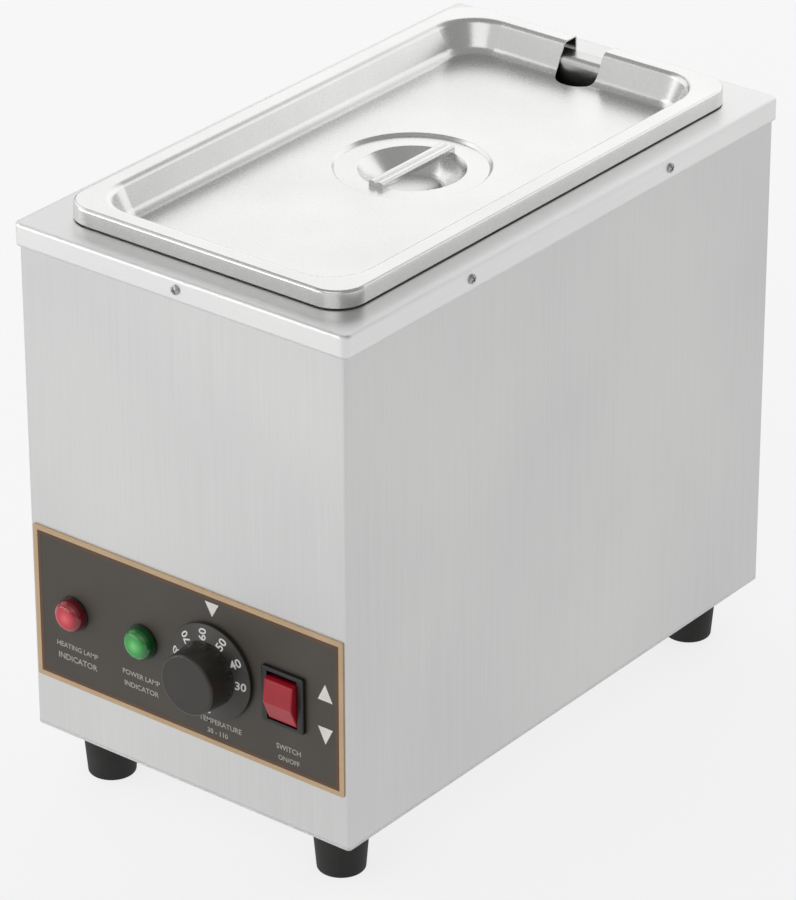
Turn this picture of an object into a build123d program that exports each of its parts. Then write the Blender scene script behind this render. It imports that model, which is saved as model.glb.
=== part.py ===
"""Counter-top chocolate melter: folded steel casing, water tank, hung pan with lid, and front controls.

Sizes are in millimetres. +Z is up, the front faces -Y, and the feet stand on Z = 0.
"""
import math
import os

from build123d import *

# Casing and top cover, sized round the pan's rim
CASE_SIDE_MARGIN = 17.0
CASE_END_MARGIN = 18.5
CONTROL_BAY_HEIGHT = 120.2
CASE_SHEET = 1.0
CASE_CORNER = 2.0
CASE_TOP_FLANGE = 8.0
CASE_BOTTOM_FLANGE = 12.0
COVER_SHEET = 1.2
COVER_FLANGE = 12.0
COVER_PLAY = 0.8
COVER_SCREW_END_INSET = 97.0

# Fits
FIT = 0.05
RUNNING_FIT = 0.05
HOLE_PLAY = 0.15
LEVEL_TOLERANCE = 1e-4

# Feet and base plate
FOOT_HEIGHT = 32.0
FOOT_TOP_RADIUS = 15.5
FOOT_BOTTOM_RADIUS = 12.8
FOOT_INSET = 27.0
FOOT_EDGE_ROUND = 1.0
FOOT_RECESS_RADIUS = 7.0
FOOT_RECESS_DEPTH = 14.0
BASE_SHEET = 1.0
BASE_SCREW_END_INSET = 71.0
FOOT_BOLT_RADIUS = 2.5
FOOT_BOLT_HEAD_RADIUS = 4.5
FOOT_BOLT_HEAD = 3.5
WASHER = 1.0
M5_NUT_FLATS = 8.0
M5_NUT = 4.0

# Small screws and nuts
M4_RADIUS = 1.95
M4_NUT_FLATS = 7.0
M4_NUT = 3.2
M3_RADIUS = 1.45
PAN_HEAD_RADIUS = 3.5
PAN_HEAD = 1.4
SMALL_HEAD_RADIUS = 2.6
SMALL_HEAD = 1.5
SCREW_TAIL = 4.0
THREAD_TAIL = 1.5
SMALL_PLATE_CORNER = 2.0

# Pan (third-size gastronorm rim) and the tank round it
PAN_RIM_WIDTH = 176.0
PAN_RIM_DEPTH = 325.0
PAN_RIM_CORNER = 14.0
PAN_RIM_LIP = 3.0
PAN_SHEET = 0.8
PAN_LEDGE = 11.0
PAN_MOUTH_ROUND = 4.0
PAN_MOUTH_CORNER = 21.0
PAN_INSIDE_DEPTH = 150.0
PAN_TAPER = 7.0
PAN_FLOOR_ROUND = 9.0
PAN_DECK_PLAY = 1.5
TANK_PAN_GAP = 3.0
TANK_SHEET = 1.0
TANK_FLANGE = 12.0
TANK_WATER_UNDER_PAN = 20.0
TANK_FLOOR_ROUND = 6.0
GASKET = 1.5
GASKET_WIDTH = 9.0
TANK_STUD_LENGTH = 11.0
TANK_STUD_END_INSET = 35.5
TANK_STUD_SIDE_INSET = 31.0

# Lid
LID_SHEET = 0.8
LID_HEIGHT = 10.0
LID_DECK_GAP = 0.8
LID_RIM_PLAY = 2.2
LID_RECESS_DEPTH = 16.0
LID_RECESS_RUN = 8.0
LID_SEAT_GAP = 0.3
LID_MOUTH_ROUND = 4.0
LID_FLOOR_ROUND = 6.5
LID_EDGE_ROUND = 1.6
LID_RING_RADIUS = 41.0
LID_RING_DROP = 1.6
LID_DISH_RADIUS = 28.5
LID_DISH_DEPTH = 12.5
LID_DISH_FLOOR_RADIUS = 17.0
LID_DISH_ROUND = 4.5
LID_DISH_SHIFT = 5.0
NOTCH_WIDTH = 26.0
NOTCH_REACH = 9.0
HANDLE_WIDTH = 9.0
HANDLE_THICK = 3.2
HANDLE_SEAT = 1.8
HANDLE_ROLL = 1.5
HANDLE_GROOVE = 3.0
HANDLE_GROOVE_DEPTH = 0.9

# Control panel
PANEL_SIDE_MARGIN = 2.5
PANEL_LIFT = 30.0
PANEL_HEIGHT = 89.0
PANEL_THICK = 0.8
PANEL_CORNER = 1.0
RED_LAMP_INSET = 26.4
SWITCH_INSET = 37.6
CONTROL_STEPS = 3

# Pilot lamps
LENS_RADIUS = 9.0
LENS_RIM = 2.0
LENS_HEIGHT = 6.5
LENS_WALL = 1.2
HOLDER_FLANGE_RADIUS = 9.6
HOLDER_FLANGE = 1.0
HOLDER_RADIUS = 6.3
HOLDER_LENGTH = 24.0
LAMP_NUT_FLATS = 17.0
LAMP_NUT = 4.0
LAMP_TAG_SPACING = 5.0
LAMP_TAG_LENGTH = 7.0
TAG_WIDTH = 4.8
TAG_THICK = 0.8

# Temperature knob and thermostat
KNOB_SKIRT_RADIUS = 26.5
KNOB_SKIRT = 4.0
KNOB_SKIRT_EDGE = 1.8
KNOB_GRIP_RADIUS = 18.0
KNOB_GRIP_TIP_RADIUS = 16.8
KNOB_GRIP = 16.5
KNOB_PANEL_GAP = 0.8
KNOB_TIP_ROUND = 1.4
KNOB_HOLLOW_RADIUS = 21.0
KNOB_HOLLOW = 2.4
KNOB_BOSS_RADIUS = 6.0
KNOB_FLUTES = 24
KNOB_FLUTE_RADIUS = 1.5
KNOB_FLUTE_BITE = 0.55
KNOB_FLUTE_TOP = 3.0
SHAFT_RADIUS = 3.0
SHAFT_IN_BODY = 12.0
SHAFT_IN_KNOB = 12.0
SHAFT_WALL_PLAY = 1.5
STAT_BRACKET_WIDTH = 42.0
STAT_BRACKET_HEIGHT = 30.0
STAT_BRACKET = 1.5
STAT_SCREW_PITCH = 28.0
STAT_BODY_WIDTH = 34.0
STAT_BODY_HEIGHT = 30.0
STAT_BODY_DEPTH = 28.0
STAT_BODY_ROUND = 3.0
STAT_TAGS = 3
STAT_TAG_PITCH = 9.0
CAPILLARY_RADIUS = 1.0
CAPILLARY_OFFSET_X = 8.5
CAPILLARY_BEND = 12.0
CAPILLARY_FIRST_BEND = 10.8
CAPILLARY_SIDE_BEND = 7.2
BULB_RADIUS = 3.0
BULB_LENGTH = 90.0
BULB_PLAY = 0.2
POCKET_WALL = 1.0
POCKET_SPARE = 6.0
POCKET_STUD_GAP = 11.0

# Rocker switch
SWITCH_FRAME_SIDE = 2.5
SWITCH_FRAME_END = 1.0
SWITCH_FRAME = 2.5
SWITCH_FRAME_CORNER = 1.0
SWITCH_FRAME_EDGE = 0.8
SWITCH_WALL = 1.2
SWITCH_END_WALL = 2.8
SWITCH_BODY_DEPTH = 26.0
SWITCH_WELL_DEPTH = 17.0
ROCKER_WIDTH = 18.4
ROCKER_HEIGHT = 24.4
ROCKER_RIDGE = 7.0
ROCKER_SLOPE = 15.0
ROCKER_TILT = 8.0
ROCKER_PLAY = 0.6
ROCKER_PIVOT_DEPTH = 5.0
ROCKER_SHOULDER = 3.0
ROCKER_TAIL = 6.0
ROCKER_TAIL_HALF_HEIGHT = 7.0
ROCKER_ROUND = 0.7
PIVOT_RADIUS = 1.5
PIVOT_LENGTH = 1.2
BLADE_X = 5.5
BLADE_Z = 8.0
BLADE_LENGTH = 8.0
BLADE_WIDTH = 6.3

# Heater under the tank
PLATE_THICK = 3.0
PLATE_SIDE_INSET = 35.0
PLATE_END_INSET = 43.5
ELEMENT_RADIUS = 4.0
ELEMENT_SIDE_INSET = 20.0
ELEMENT_TAIL_INSET = 20.0
ELEMENT_TURN_INSET = 12.0
ELEMENT_TURN_FLAT = 2.0
ELEMENT_TAIL_BEND = 12.0
ELEMENT_TAIL = 24.0
ELEMENT_PIN_RADIUS = 2.0
ELEMENT_PIN = 9.0
SEAT_GAP = 0.1
CLAMP_BAR_WIDTH = 12.0
CLAMP_BAR = 2.0
CLAMP_BAR_END = 8.0
CLAMP_STUD_GAP = 9.0
CLAMP_END_INSET = 50.0
CUTOUT_RADIUS = 12.0
CUTOUT_HEIGHT = 9.0
CUTOUT_ROUND = 1.0
CUTOUT_PLATE_GAP = 7.0
CUTOUT_STRAP_WIDTH = 8.0
CUTOUT_STRAP = 1.0
CUTOUT_STUD_X = 18.0

# Mains parts at the back
GLAND_SIDE_INSET = 45.0
GLAND_LIFT = 31.0
GLAND_FLATS = 22.0
GLAND_FLANGE = 5.0
GLAND_THREAD_RADIUS = 8.0
GLAND_SPIGOT = 9.0
GLAND_CAP_LENGTH = 15.0
GLAND_CAP_MOUTH_RADIUS = 4.8
GLAND_CAP_ROUND = 2.5
GLAND_INNER_LENGTH = 10.0
GLAND_BORE_RADIUS = 6.4
GLAND_SEAL_BORE_RADIUS = 4.0
GLAND_SEAL_LENGTH = 10.0
LOCKNUT_FLATS = 20.0
LOCKNUT = 4.0
BLOCK_SIDE_INSET = 65.0
BLOCK_BACK_INSET = 63.0
BLOCK_WIDTH = 34.0
BLOCK_DEPTH = 22.0
BLOCK_HEIGHT = 18.0
BLOCK_POLES = 3
BLOCK_PITCH = 10.0
BLOCK_BORE_RADIUS = 2.0
BLOCK_BORE_HEIGHT = 7.0
BLOCK_ROUND = 1.5
EARTH_SIDE_INSET = 75.0
EARTH_BACK_INSET = 41.0
EARTH_LENGTH = 18.0

# Sizes worked out from the ones above
CASE_WIDTH = PAN_RIM_WIDTH + 2 * CASE_SIDE_MARGIN
CASE_DEPTH = PAN_RIM_DEPTH + 2 * CASE_END_MARGIN
CASE_BOTTOM_Z = FOOT_HEIGHT + BASE_SHEET
TANK_BOTTOM_Z = CASE_BOTTOM_Z + CONTROL_BAY_HEIGHT
TANK_FLOOR_Z = TANK_BOTTOM_Z + TANK_SHEET
PAN_BOTTOM_Z = TANK_FLOOR_Z + TANK_WATER_UNDER_PAN
PAN_FLOOR_Z = PAN_BOTTOM_Z + PAN_SHEET
PAN_TOP_Z = PAN_FLOOR_Z + PAN_INSIDE_DEPTH
DECK_Z = PAN_TOP_Z - PAN_RIM_LIP
CASE_TOP_Z = DECK_Z - COVER_SHEET
FRONT_Y = -CASE_DEPTH / 2
BACK_Y = CASE_DEPTH / 2
COVER_OVERHANG = COVER_PLAY + COVER_SHEET
COVER_WIDTH = CASE_WIDTH + 2 * COVER_OVERHANG
COVER_DEPTH = CASE_DEPTH + 2 * COVER_OVERHANG
PANEL_FRONT_Y = FRONT_Y - PANEL_THICK
WALL_INSIDE_Y = FRONT_Y + CASE_SHEET
PANEL_WIDTH = CASE_WIDTH - 2 * PANEL_SIDE_MARGIN
CONTROL_Z = CASE_BOTTOM_Z + PANEL_LIFT + PANEL_HEIGHT / 2
RED_LAMP_X = RED_LAMP_INSET - PANEL_WIDTH / 2
SWITCH_X = PANEL_WIDTH / 2 - SWITCH_INSET
CONTROL_PITCH = (SWITCH_X - RED_LAMP_X) / CONTROL_STEPS
GREEN_LAMP_X = RED_LAMP_X + CONTROL_PITCH
KNOB_X = SWITCH_X - CONTROL_PITCH
COVER_SCREW_SIDE_Y = CASE_DEPTH / 2 - COVER_SCREW_END_INSET
BASE_SCREW_Y = CASE_DEPTH / 2 - BASE_SCREW_END_INSET
PAN_BODY_WIDTH = PAN_RIM_WIDTH - 2 * PAN_LEDGE
PAN_BODY_DEPTH = PAN_RIM_DEPTH - 2 * PAN_LEDGE
PAN_MOUTH_WIDTH = PAN_BODY_WIDTH - 2 * PAN_SHEET
PAN_MOUTH_DEPTH = PAN_BODY_DEPTH - 2 * PAN_SHEET
DECK_OPENING_WIDTH = PAN_BODY_WIDTH + 2 * PAN_DECK_PLAY
DECK_OPENING_DEPTH = PAN_BODY_DEPTH + 2 * PAN_DECK_PLAY
DECK_OPENING_CORNER = PAN_MOUTH_CORNER + PAN_SHEET + PAN_DECK_PLAY
TANK_WIDTH = PAN_BODY_WIDTH + 2 * TANK_PAN_GAP + 2 * TANK_SHEET
TANK_DEPTH = PAN_BODY_DEPTH + 2 * TANK_PAN_GAP + 2 * TANK_SHEET
TANK_CORNER = PAN_MOUTH_CORNER + PAN_SHEET + TANK_PAN_GAP + TANK_SHEET
TANK_TOP_Z = CASE_TOP_Z - GASKET
TANK_STUD_X = TANK_WIDTH / 2 + TANK_FLANGE / 2
TANK_STUD_END_Y = TANK_DEPTH / 2 + TANK_FLANGE / 2
TANK_STUD_SIDE_Y = TANK_DEPTH / 2 - TANK_STUD_END_INSET
TANK_STUD_END_X = TANK_WIDTH / 2 - TANK_STUD_SIDE_INSET
PLATE_WIDTH = TANK_WIDTH - 2 * PLATE_SIDE_INSET
PLATE_DEPTH = TANK_DEPTH - 2 * PLATE_END_INSET
ELEMENT_HALF_WIDTH = PLATE_WIDTH / 2 - ELEMENT_SIDE_INSET
ELEMENT_TURN = ELEMENT_HALF_WIDTH - ELEMENT_TURN_FLAT
ELEMENT_FRONT_Y = ELEMENT_TAIL_INSET - PLATE_DEPTH / 2
ELEMENT_BACK_Y = PLATE_DEPTH / 2 - ELEMENT_TURN_INSET
CLAMP_STUD_X = PLATE_WIDTH / 2 + CLAMP_STUD_GAP
CLAMP_BAR_LENGTH = 2 * (CLAMP_STUD_X + CLAMP_BAR_END)
CLAMP_Y = PLATE_DEPTH / 2 - CLAMP_END_INSET
CUTOUT_Y = PLATE_DEPTH / 2 + CUTOUT_PLATE_GAP + CUTOUT_RADIUS
POCKET_X = CLAMP_STUD_X + POCKET_STUD_GAP
POCKET_MOUTH_Y = -CLAMP_Y
POCKET_LENGTH = BULB_LENGTH + POCKET_SPARE
LID_TOP_Z = DECK_Z + LID_HEIGHT
LID_SKIRT_Z = DECK_Z + LID_DECK_GAP
LID_WIDTH = PAN_RIM_WIDTH + 2 * (LID_RIM_PLAY + LID_SHEET)
LID_DEPTH = PAN_RIM_DEPTH + 2 * (LID_RIM_PLAY + LID_SHEET)
LID_CORNER = PAN_RIM_CORNER + LID_RIM_PLAY + LID_SHEET
LID_FLOOR_Z = LID_TOP_Z - LID_RECESS_DEPTH
LID_RING_Z = LID_FLOOR_Z - LID_RING_DROP
ELEMENT_Z = TANK_BOTTOM_Z - PLATE_THICK - SEAT_GAP - ELEMENT_RADIUS
ELEMENT_UNDER_Z = ELEMENT_Z - ELEMENT_RADIUS - SEAT_GAP
KNOB_BACK_Y = PANEL_FRONT_Y - KNOB_PANEL_GAP
KNOB_FRONT_Y = KNOB_BACK_Y - KNOB_SKIRT - KNOB_GRIP
STAT_FRONT_Y = WALL_INSIDE_Y + STAT_BRACKET
STAT_BACK_Y = STAT_FRONT_Y + STAT_BODY_DEPTH
PIVOT_Y = PANEL_FRONT_Y + ROCKER_PIVOT_DEPTH
SWITCH_BODY_WIDTH = ROCKER_WIDTH + 2 * (ROCKER_PLAY + SWITCH_WALL)
SWITCH_BODY_HEIGHT = ROCKER_HEIGHT + 2 * SWITCH_END_WALL
SWITCH_FRAME_WIDTH = SWITCH_BODY_WIDTH + 2 * SWITCH_FRAME_SIDE
SWITCH_FRAME_HEIGHT = SWITCH_BODY_HEIGHT + 2 * SWITCH_FRAME_END
GLAND_X = GLAND_SIDE_INSET - CASE_WIDTH / 2
GLAND_Z = CASE_BOTTOM_Z + GLAND_LIFT
BLOCK_X = BLOCK_SIDE_INSET - CASE_WIDTH / 2
BLOCK_Y = BACK_Y - BLOCK_BACK_INSET
EARTH_X = CASE_WIDTH / 2 - EARTH_SIDE_INSET
EARTH_Y = BACK_Y - EARTH_BACK_INSET
GLAND_END_Y = BACK_Y + GLAND_FLANGE + GLAND_CAP_LENGTH
ORIGIN_Y = (KNOB_FRONT_Y + GLAND_END_Y) / 2

LOW = (Align.CENTER, Align.CENTER, Align.MIN)
nodes = {}


def rod_z(radius, length, x=0.0, y=0.0, z=0.0):
    """Upright cylinder that starts at z and grows upwards."""
    return Pos(x, y, z) * Cylinder(radius, length, align=LOW)


def rod_y(radius, length, x=0.0, y=0.0, z=0.0):
    """Level cylinder that starts at y and grows backwards."""
    return Pos(x, y, z) * Rot(-90, 0, 0) * Cylinder(radius, length, align=LOW)


def rod_x(radius, length, x=0.0, y=0.0, z=0.0):
    """Level cylinder centred on x along the width."""
    return Pos(x, y, z) * Rot(0, 90, 0) * Cylinder(radius, length)


def block(width, depth, height, x=0.0, y=0.0, z=0.0):
    """Box centred on x and y that stands on z."""
    return Pos(x, y, z) * Box(width, depth, height, align=LOW)


def slab(width, depth, corner, height, z, x=0.0, y=0.0):
    """Plate with rounded plan corners that stands on z."""
    return Pos(x, y, z) * extrude(RectangleRounded(width, depth, corner), height)


def upright(width, height, corner, thick, y, x=0.0, z=0.0):
    """Plate in the XZ plane with rounded corners that starts at y and grows backwards."""
    return Pos(x, y, z) * Rot(-90, 0, 0) * extrude(RectangleRounded(width, height, corner), thick)


def hex_z(flats, height, x=0.0, y=0.0, z=0.0):
    """Upright hexagonal prism that starts at z."""
    return Pos(x, y, z) * extrude(RegularPolygon(flats / 2, 6, major_radius=False), height)


def hex_y(flats, height, x=0.0, y=0.0, z=0.0):
    """Level hexagonal prism that starts at y and grows backwards."""
    return Pos(x, y, z) * Rot(-90, 0, 0) * extrude(RegularPolygon(flats / 2, 6, major_radius=False), height)


def funnel(width, depth, corner, run, height, top_z):
    """Solid with rounded plan corners that narrows by run on every side over its height."""
    top = Pos(0, 0, top_z) * RectangleRounded(width, depth, corner)
    low = Pos(0, 0, top_z - height) * RectangleRounded(width - 2 * run, depth - 2 * run, corner - run)
    return loft([low, top], ruled=True)


def edges_at(solid, z):
    """Edges that lie wholly at height z."""
    return [e for e in solid.edges() if all(abs(v.Z - z) < LEVEL_TOLERANCE for v in (e @ 0, e @ 0.5, e @ 1))]


def group(*solids):
    """Several solids kept in one node."""
    return Compound([s for part in solids for s in part.solids()])


def nut_z(flats, height, radius, x, y, z):
    """Hexagon nut on an upright thread."""
    return hex_z(flats, height, x, y, z) - rod_z(radius + FIT, height, x, y, z)


def case_corners():
    """Centres of the four feet."""
    return [
        (sx * (CASE_WIDTH / 2 - FOOT_INSET), sy * (CASE_DEPTH / 2 - FOOT_INSET))
        for sy in (-1, 1) for sx in (-1, 1)
    ]


def base_screw_places():
    """Centres of the screws that hold the base plate to the casing's bottom flange."""
    middle = CASE_SHEET + (CASE_BOTTOM_FLANGE - CASE_SHEET) / 2
    side_x = CASE_WIDTH / 2 - middle
    end_y = CASE_DEPTH / 2 - middle
    sides = [(sx * side_x, y) for sx in (-1, 1) for y in (-BASE_SCREW_Y, 0.0, BASE_SCREW_Y)]
    return sides + [(0.0, -end_y), (0.0, end_y)]


def cover_screw_places():
    """Point on the cover's flange and outward direction of each cover screw."""
    half_w = COVER_WIDTH / 2
    half_d = COVER_DEPTH / 2
    ends = [((0.0, sy * half_d), (0, sy)) for sy in (-1, 1)]
    sides = [((sx * half_w, y), (sx, 0)) for sx in (-1, 1) for y in (-COVER_SCREW_SIDE_Y, COVER_SCREW_SIDE_Y)]
    return ends + sides


def level_rod(radius, start, end, place, outward):
    """Level cylinder along an outward direction, between two distances from a point on the flange."""
    x, y = place
    dx, dy = outward
    z = DECK_Z - COVER_FLANGE / 2
    plane = Plane(origin=(x + dx * start, y + dy * start, z), z_dir=(dx, dy, 0))
    return plane * Cylinder(radius, end - start, align=LOW)


def tank_stud_places():
    """Centres of the weld studs that hold the tank under the deck."""
    sides = [(sx * TANK_STUD_X, y) for sx in (-1, 1) for y in (-TANK_STUD_SIDE_Y, 0.0, TANK_STUD_SIDE_Y)]
    ends = [(x, sy * TANK_STUD_END_Y) for sy in (-1, 1) for x in (-TANK_STUD_END_X, TANK_STUD_END_X)]
    return sides + ends


def stat_screw_places():
    """Centres of the two screws that hold the thermostat."""
    return [(KNOB_X + s * STAT_SCREW_PITCH / 2, CONTROL_Z) for s in (-1, 1)]


def front_openings(front, thick):
    """What the front wall and the panel are pierced by for the controls."""
    cuts = []
    for x in (RED_LAMP_X, GREEN_LAMP_X):
        cuts.append(rod_y(HOLDER_RADIUS + HOLE_PLAY, thick, x, front, CONTROL_Z))
    cuts.append(rod_y(SHAFT_RADIUS + SHAFT_WALL_PLAY, thick, KNOB_X, front, CONTROL_Z))
    for x, z in stat_screw_places():
        cuts.append(rod_y(M4_RADIUS + HOLE_PLAY, thick, x, front, z))
    switch = (SWITCH_BODY_WIDTH + 2 * HOLE_PLAY, thick, SWITCH_BODY_HEIGHT + 2 * HOLE_PLAY)
    cuts.append(Pos(SWITCH_X, front + thick / 2, CONTROL_Z) * Box(*switch))
    return cuts


def body_shell():
    """Casing: four folded walls with inward flanges at the top and bottom."""
    height = CASE_TOP_Z - CASE_BOTTOM_Z
    shell = slab(CASE_WIDTH, CASE_DEPTH, CASE_CORNER, height, CASE_BOTTOM_Z)
    inner_w = CASE_WIDTH - 2 * CASE_SHEET
    inner_d = CASE_DEPTH - 2 * CASE_SHEET
    inner_r = CASE_CORNER - CASE_SHEET
    shell -= slab(inner_w, inner_d, inner_r, height - 2 * CASE_SHEET, CASE_BOTTOM_Z + CASE_SHEET)
    shell -= block(CASE_WIDTH - 2 * CASE_BOTTOM_FLANGE, CASE_DEPTH - 2 * CASE_BOTTOM_FLANGE, CASE_SHEET, 0, 0,
                   CASE_BOTTOM_Z)
    shell -= block(CASE_WIDTH - 2 * CASE_TOP_FLANGE, CASE_DEPTH - 2 * CASE_TOP_FLANGE, CASE_SHEET, 0, 0,
                   CASE_TOP_Z - CASE_SHEET)
    for cut in front_openings(FRONT_Y, CASE_SHEET):
        shell -= cut
    shell -= rod_y(GLAND_THREAD_RADIUS + HOLE_PLAY, CASE_SHEET, GLAND_X, BACK_Y - CASE_SHEET, GLAND_Z)
    for x, y in base_screw_places():
        shell -= rod_z(M4_RADIUS + FIT, CASE_SHEET, x, y, CASE_BOTTOM_Z)
    for place, outward in cover_screw_places():
        shell -= level_rod(M3_RADIUS + FIT, -COVER_OVERHANG - CASE_SHEET, -COVER_OVERHANG, place, outward)
    return shell


def top_cover():
    """Folded deck with a flange that laps over the casing and an opening for the pan."""
    inside_w = COVER_WIDTH - 2 * COVER_SHEET
    inside_d = COVER_DEPTH - 2 * COVER_SHEET
    outer_corner = CASE_CORNER + COVER_OVERHANG
    cover = slab(COVER_WIDTH, COVER_DEPTH, outer_corner, COVER_FLANGE, DECK_Z - COVER_FLANGE)
    cover = fillet(edges_at(cover, DECK_Z), COVER_SHEET)
    cover -= slab(inside_w, inside_d, outer_corner - COVER_SHEET, COVER_FLANGE - COVER_SHEET,
                  DECK_Z - COVER_FLANGE)
    cover -= slab(DECK_OPENING_WIDTH, DECK_OPENING_DEPTH, DECK_OPENING_CORNER, COVER_SHEET, CASE_TOP_Z)
    for place, outward in cover_screw_places():
        cover -= level_rod(M3_RADIUS + FIT, -COVER_SHEET, 0.0, place, outward)
    return cover


def cover_screws():
    """Small domed screws through the cover's flange into the casing."""
    screws = []
    for place, outward in cover_screw_places():
        head = level_rod(SMALL_HEAD_RADIUS, 0.0, SMALL_HEAD, place, outward)
        rim = [e for e in head.edges() if e.geom_type == GeomType.CIRCLE]
        far = max(rim, key=lambda e: abs(e.center().X) + abs(e.center().Y))
        head = fillet([far], SMALL_HEAD / 2)
        screws.append(head + level_rod(M3_RADIUS, -COVER_OVERHANG - SCREW_TAIL, 0.0, place, outward))
    return group(*screws)


def base_plate():
    """Flat sheet that closes the casing from below."""
    plate = slab(CASE_WIDTH, CASE_DEPTH, CASE_CORNER, BASE_SHEET, FOOT_HEIGHT)
    for x, y in base_screw_places():
        plate -= rod_z(M4_RADIUS + HOLE_PLAY, BASE_SHEET, x, y, FOOT_HEIGHT)
    for x, y in case_corners():
        plate -= rod_z(FOOT_BOLT_RADIUS + HOLE_PLAY, BASE_SHEET, x, y, FOOT_HEIGHT)
    for x, y in block_screw_places():
        plate -= rod_z(M3_RADIUS + FIT, BASE_SHEET, x, y, FOOT_HEIGHT)
    return plate - rod_z(M4_RADIUS + FIT, BASE_SHEET, EARTH_X, EARTH_Y, FOOT_HEIGHT)


def base_screws():
    """Pan-head screws from below through the base plate into the casing's flange."""
    screws = []
    for x, y in base_screw_places():
        head = rod_z(PAN_HEAD_RADIUS, PAN_HEAD, x, y, FOOT_HEIGHT - PAN_HEAD)
        screws.append(head + rod_z(M4_RADIUS, BASE_SHEET + CASE_SHEET + SCREW_TAIL, x, y, FOOT_HEIGHT))
    return group(*screws)


def foot(x, y):
    """Tapered rubber foot with a recess for its bolt head and a steel washer."""
    cone = Pos(x, y, 0) * Cone(FOOT_BOTTOM_RADIUS, FOOT_TOP_RADIUS, FOOT_HEIGHT, align=LOW)
    cone = fillet(edges_at(cone, 0.0), FOOT_EDGE_ROUND)
    cone -= rod_z(FOOT_RECESS_RADIUS, FOOT_RECESS_DEPTH, x, y, 0)
    return cone - rod_z(FOOT_BOLT_RADIUS + FIT, FOOT_HEIGHT, x, y, 0)


def foot_washers():
    """Washers between the bolt heads and the rubber."""
    discs = []
    for x, y in case_corners():
        disc = rod_z(FOOT_RECESS_RADIUS - HOLE_PLAY, WASHER, x, y, FOOT_RECESS_DEPTH - WASHER)
        discs.append(disc - rod_z(FOOT_BOLT_RADIUS + FIT, WASHER, x, y, FOOT_RECESS_DEPTH - WASHER))
    return group(*discs)


def foot_bolts():
    """Bolts that go up through the feet and the base plate."""
    bolts = []
    seat = FOOT_RECESS_DEPTH - WASHER
    for x, y in case_corners():
        head = rod_z(FOOT_BOLT_HEAD_RADIUS, FOOT_BOLT_HEAD, x, y, seat - FOOT_BOLT_HEAD)
        length = FOOT_HEIGHT + BASE_SHEET + M5_NUT + THREAD_TAIL - seat
        bolts.append(head + rod_z(FOOT_BOLT_RADIUS, length, x, y, seat))
    return group(*bolts)


def foot_nuts():
    """Nuts on the foot bolts, inside the base plate."""
    top = FOOT_HEIGHT + BASE_SHEET
    return group(*[nut_z(M5_NUT_FLATS, M5_NUT, FOOT_BOLT_RADIUS, x, y, top) for x, y in case_corners()])


def inner_edges(solid, z, reach_x, reach_y):
    """Edges at height z that lie inside a rectangle round the origin."""
    return [e for e in edges_at(solid, z) if abs(e.center().X) < reach_x and abs(e.center().Y) < reach_y]


def food_pan():
    """Drawn pan with tapered walls, a flat rim and a turned-down lip that stands on the deck."""
    reach_x = PAN_BODY_WIDTH / 2 + FIT
    reach_y = PAN_BODY_DEPTH / 2 + FIT
    outer_height = PAN_TOP_Z - PAN_BOTTOM_Z
    outer_corner = PAN_MOUTH_CORNER + PAN_SHEET
    pan = slab(PAN_RIM_WIDTH, PAN_RIM_DEPTH, PAN_RIM_CORNER, PAN_RIM_LIP, DECK_Z)
    pan = fillet(edges_at(pan, PAN_TOP_Z), PAN_SHEET)
    pan -= slab(PAN_RIM_WIDTH - 2 * PAN_SHEET, PAN_RIM_DEPTH - 2 * PAN_SHEET, PAN_RIM_CORNER - PAN_SHEET,
                PAN_RIM_LIP - PAN_SHEET, DECK_Z)
    outside = funnel(PAN_BODY_WIDTH, PAN_BODY_DEPTH, outer_corner, PAN_TAPER, outer_height, PAN_TOP_Z)
    outside = fillet(edges_at(outside, PAN_BOTTOM_Z), PAN_FLOOR_ROUND + PAN_SHEET)
    pan += outside
    pan = fillet(inner_edges(pan, PAN_TOP_Z - PAN_SHEET, reach_x, reach_y), PAN_MOUTH_ROUND - PAN_SHEET)
    inside = funnel(PAN_MOUTH_WIDTH, PAN_MOUTH_DEPTH, PAN_MOUTH_CORNER, PAN_TAPER, PAN_INSIDE_DEPTH,
                    PAN_TOP_Z)
    pan -= fillet(edges_at(inside, PAN_FLOOR_Z), PAN_FLOOR_ROUND)
    return fillet(inner_edges(pan, PAN_TOP_Z, reach_x, reach_y), PAN_MOUTH_ROUND)


def lid_mouth_offset():
    """How far the lid's recess starts outside the pan's mouth, so that its wall seats on the pan's round."""
    length = math.hypot(LID_RECESS_RUN, LID_RECESS_DEPTH)
    across = LID_RECESS_DEPTH / length
    down = LID_RECESS_RUN / length
    depth = LID_TOP_Z - (PAN_TOP_Z - PAN_MOUTH_ROUND)
    reach = PAN_MOUTH_ROUND + LID_SEAT_GAP + LID_SHEET
    return PAN_MOUTH_ROUND - (reach - depth * down) / across


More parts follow.
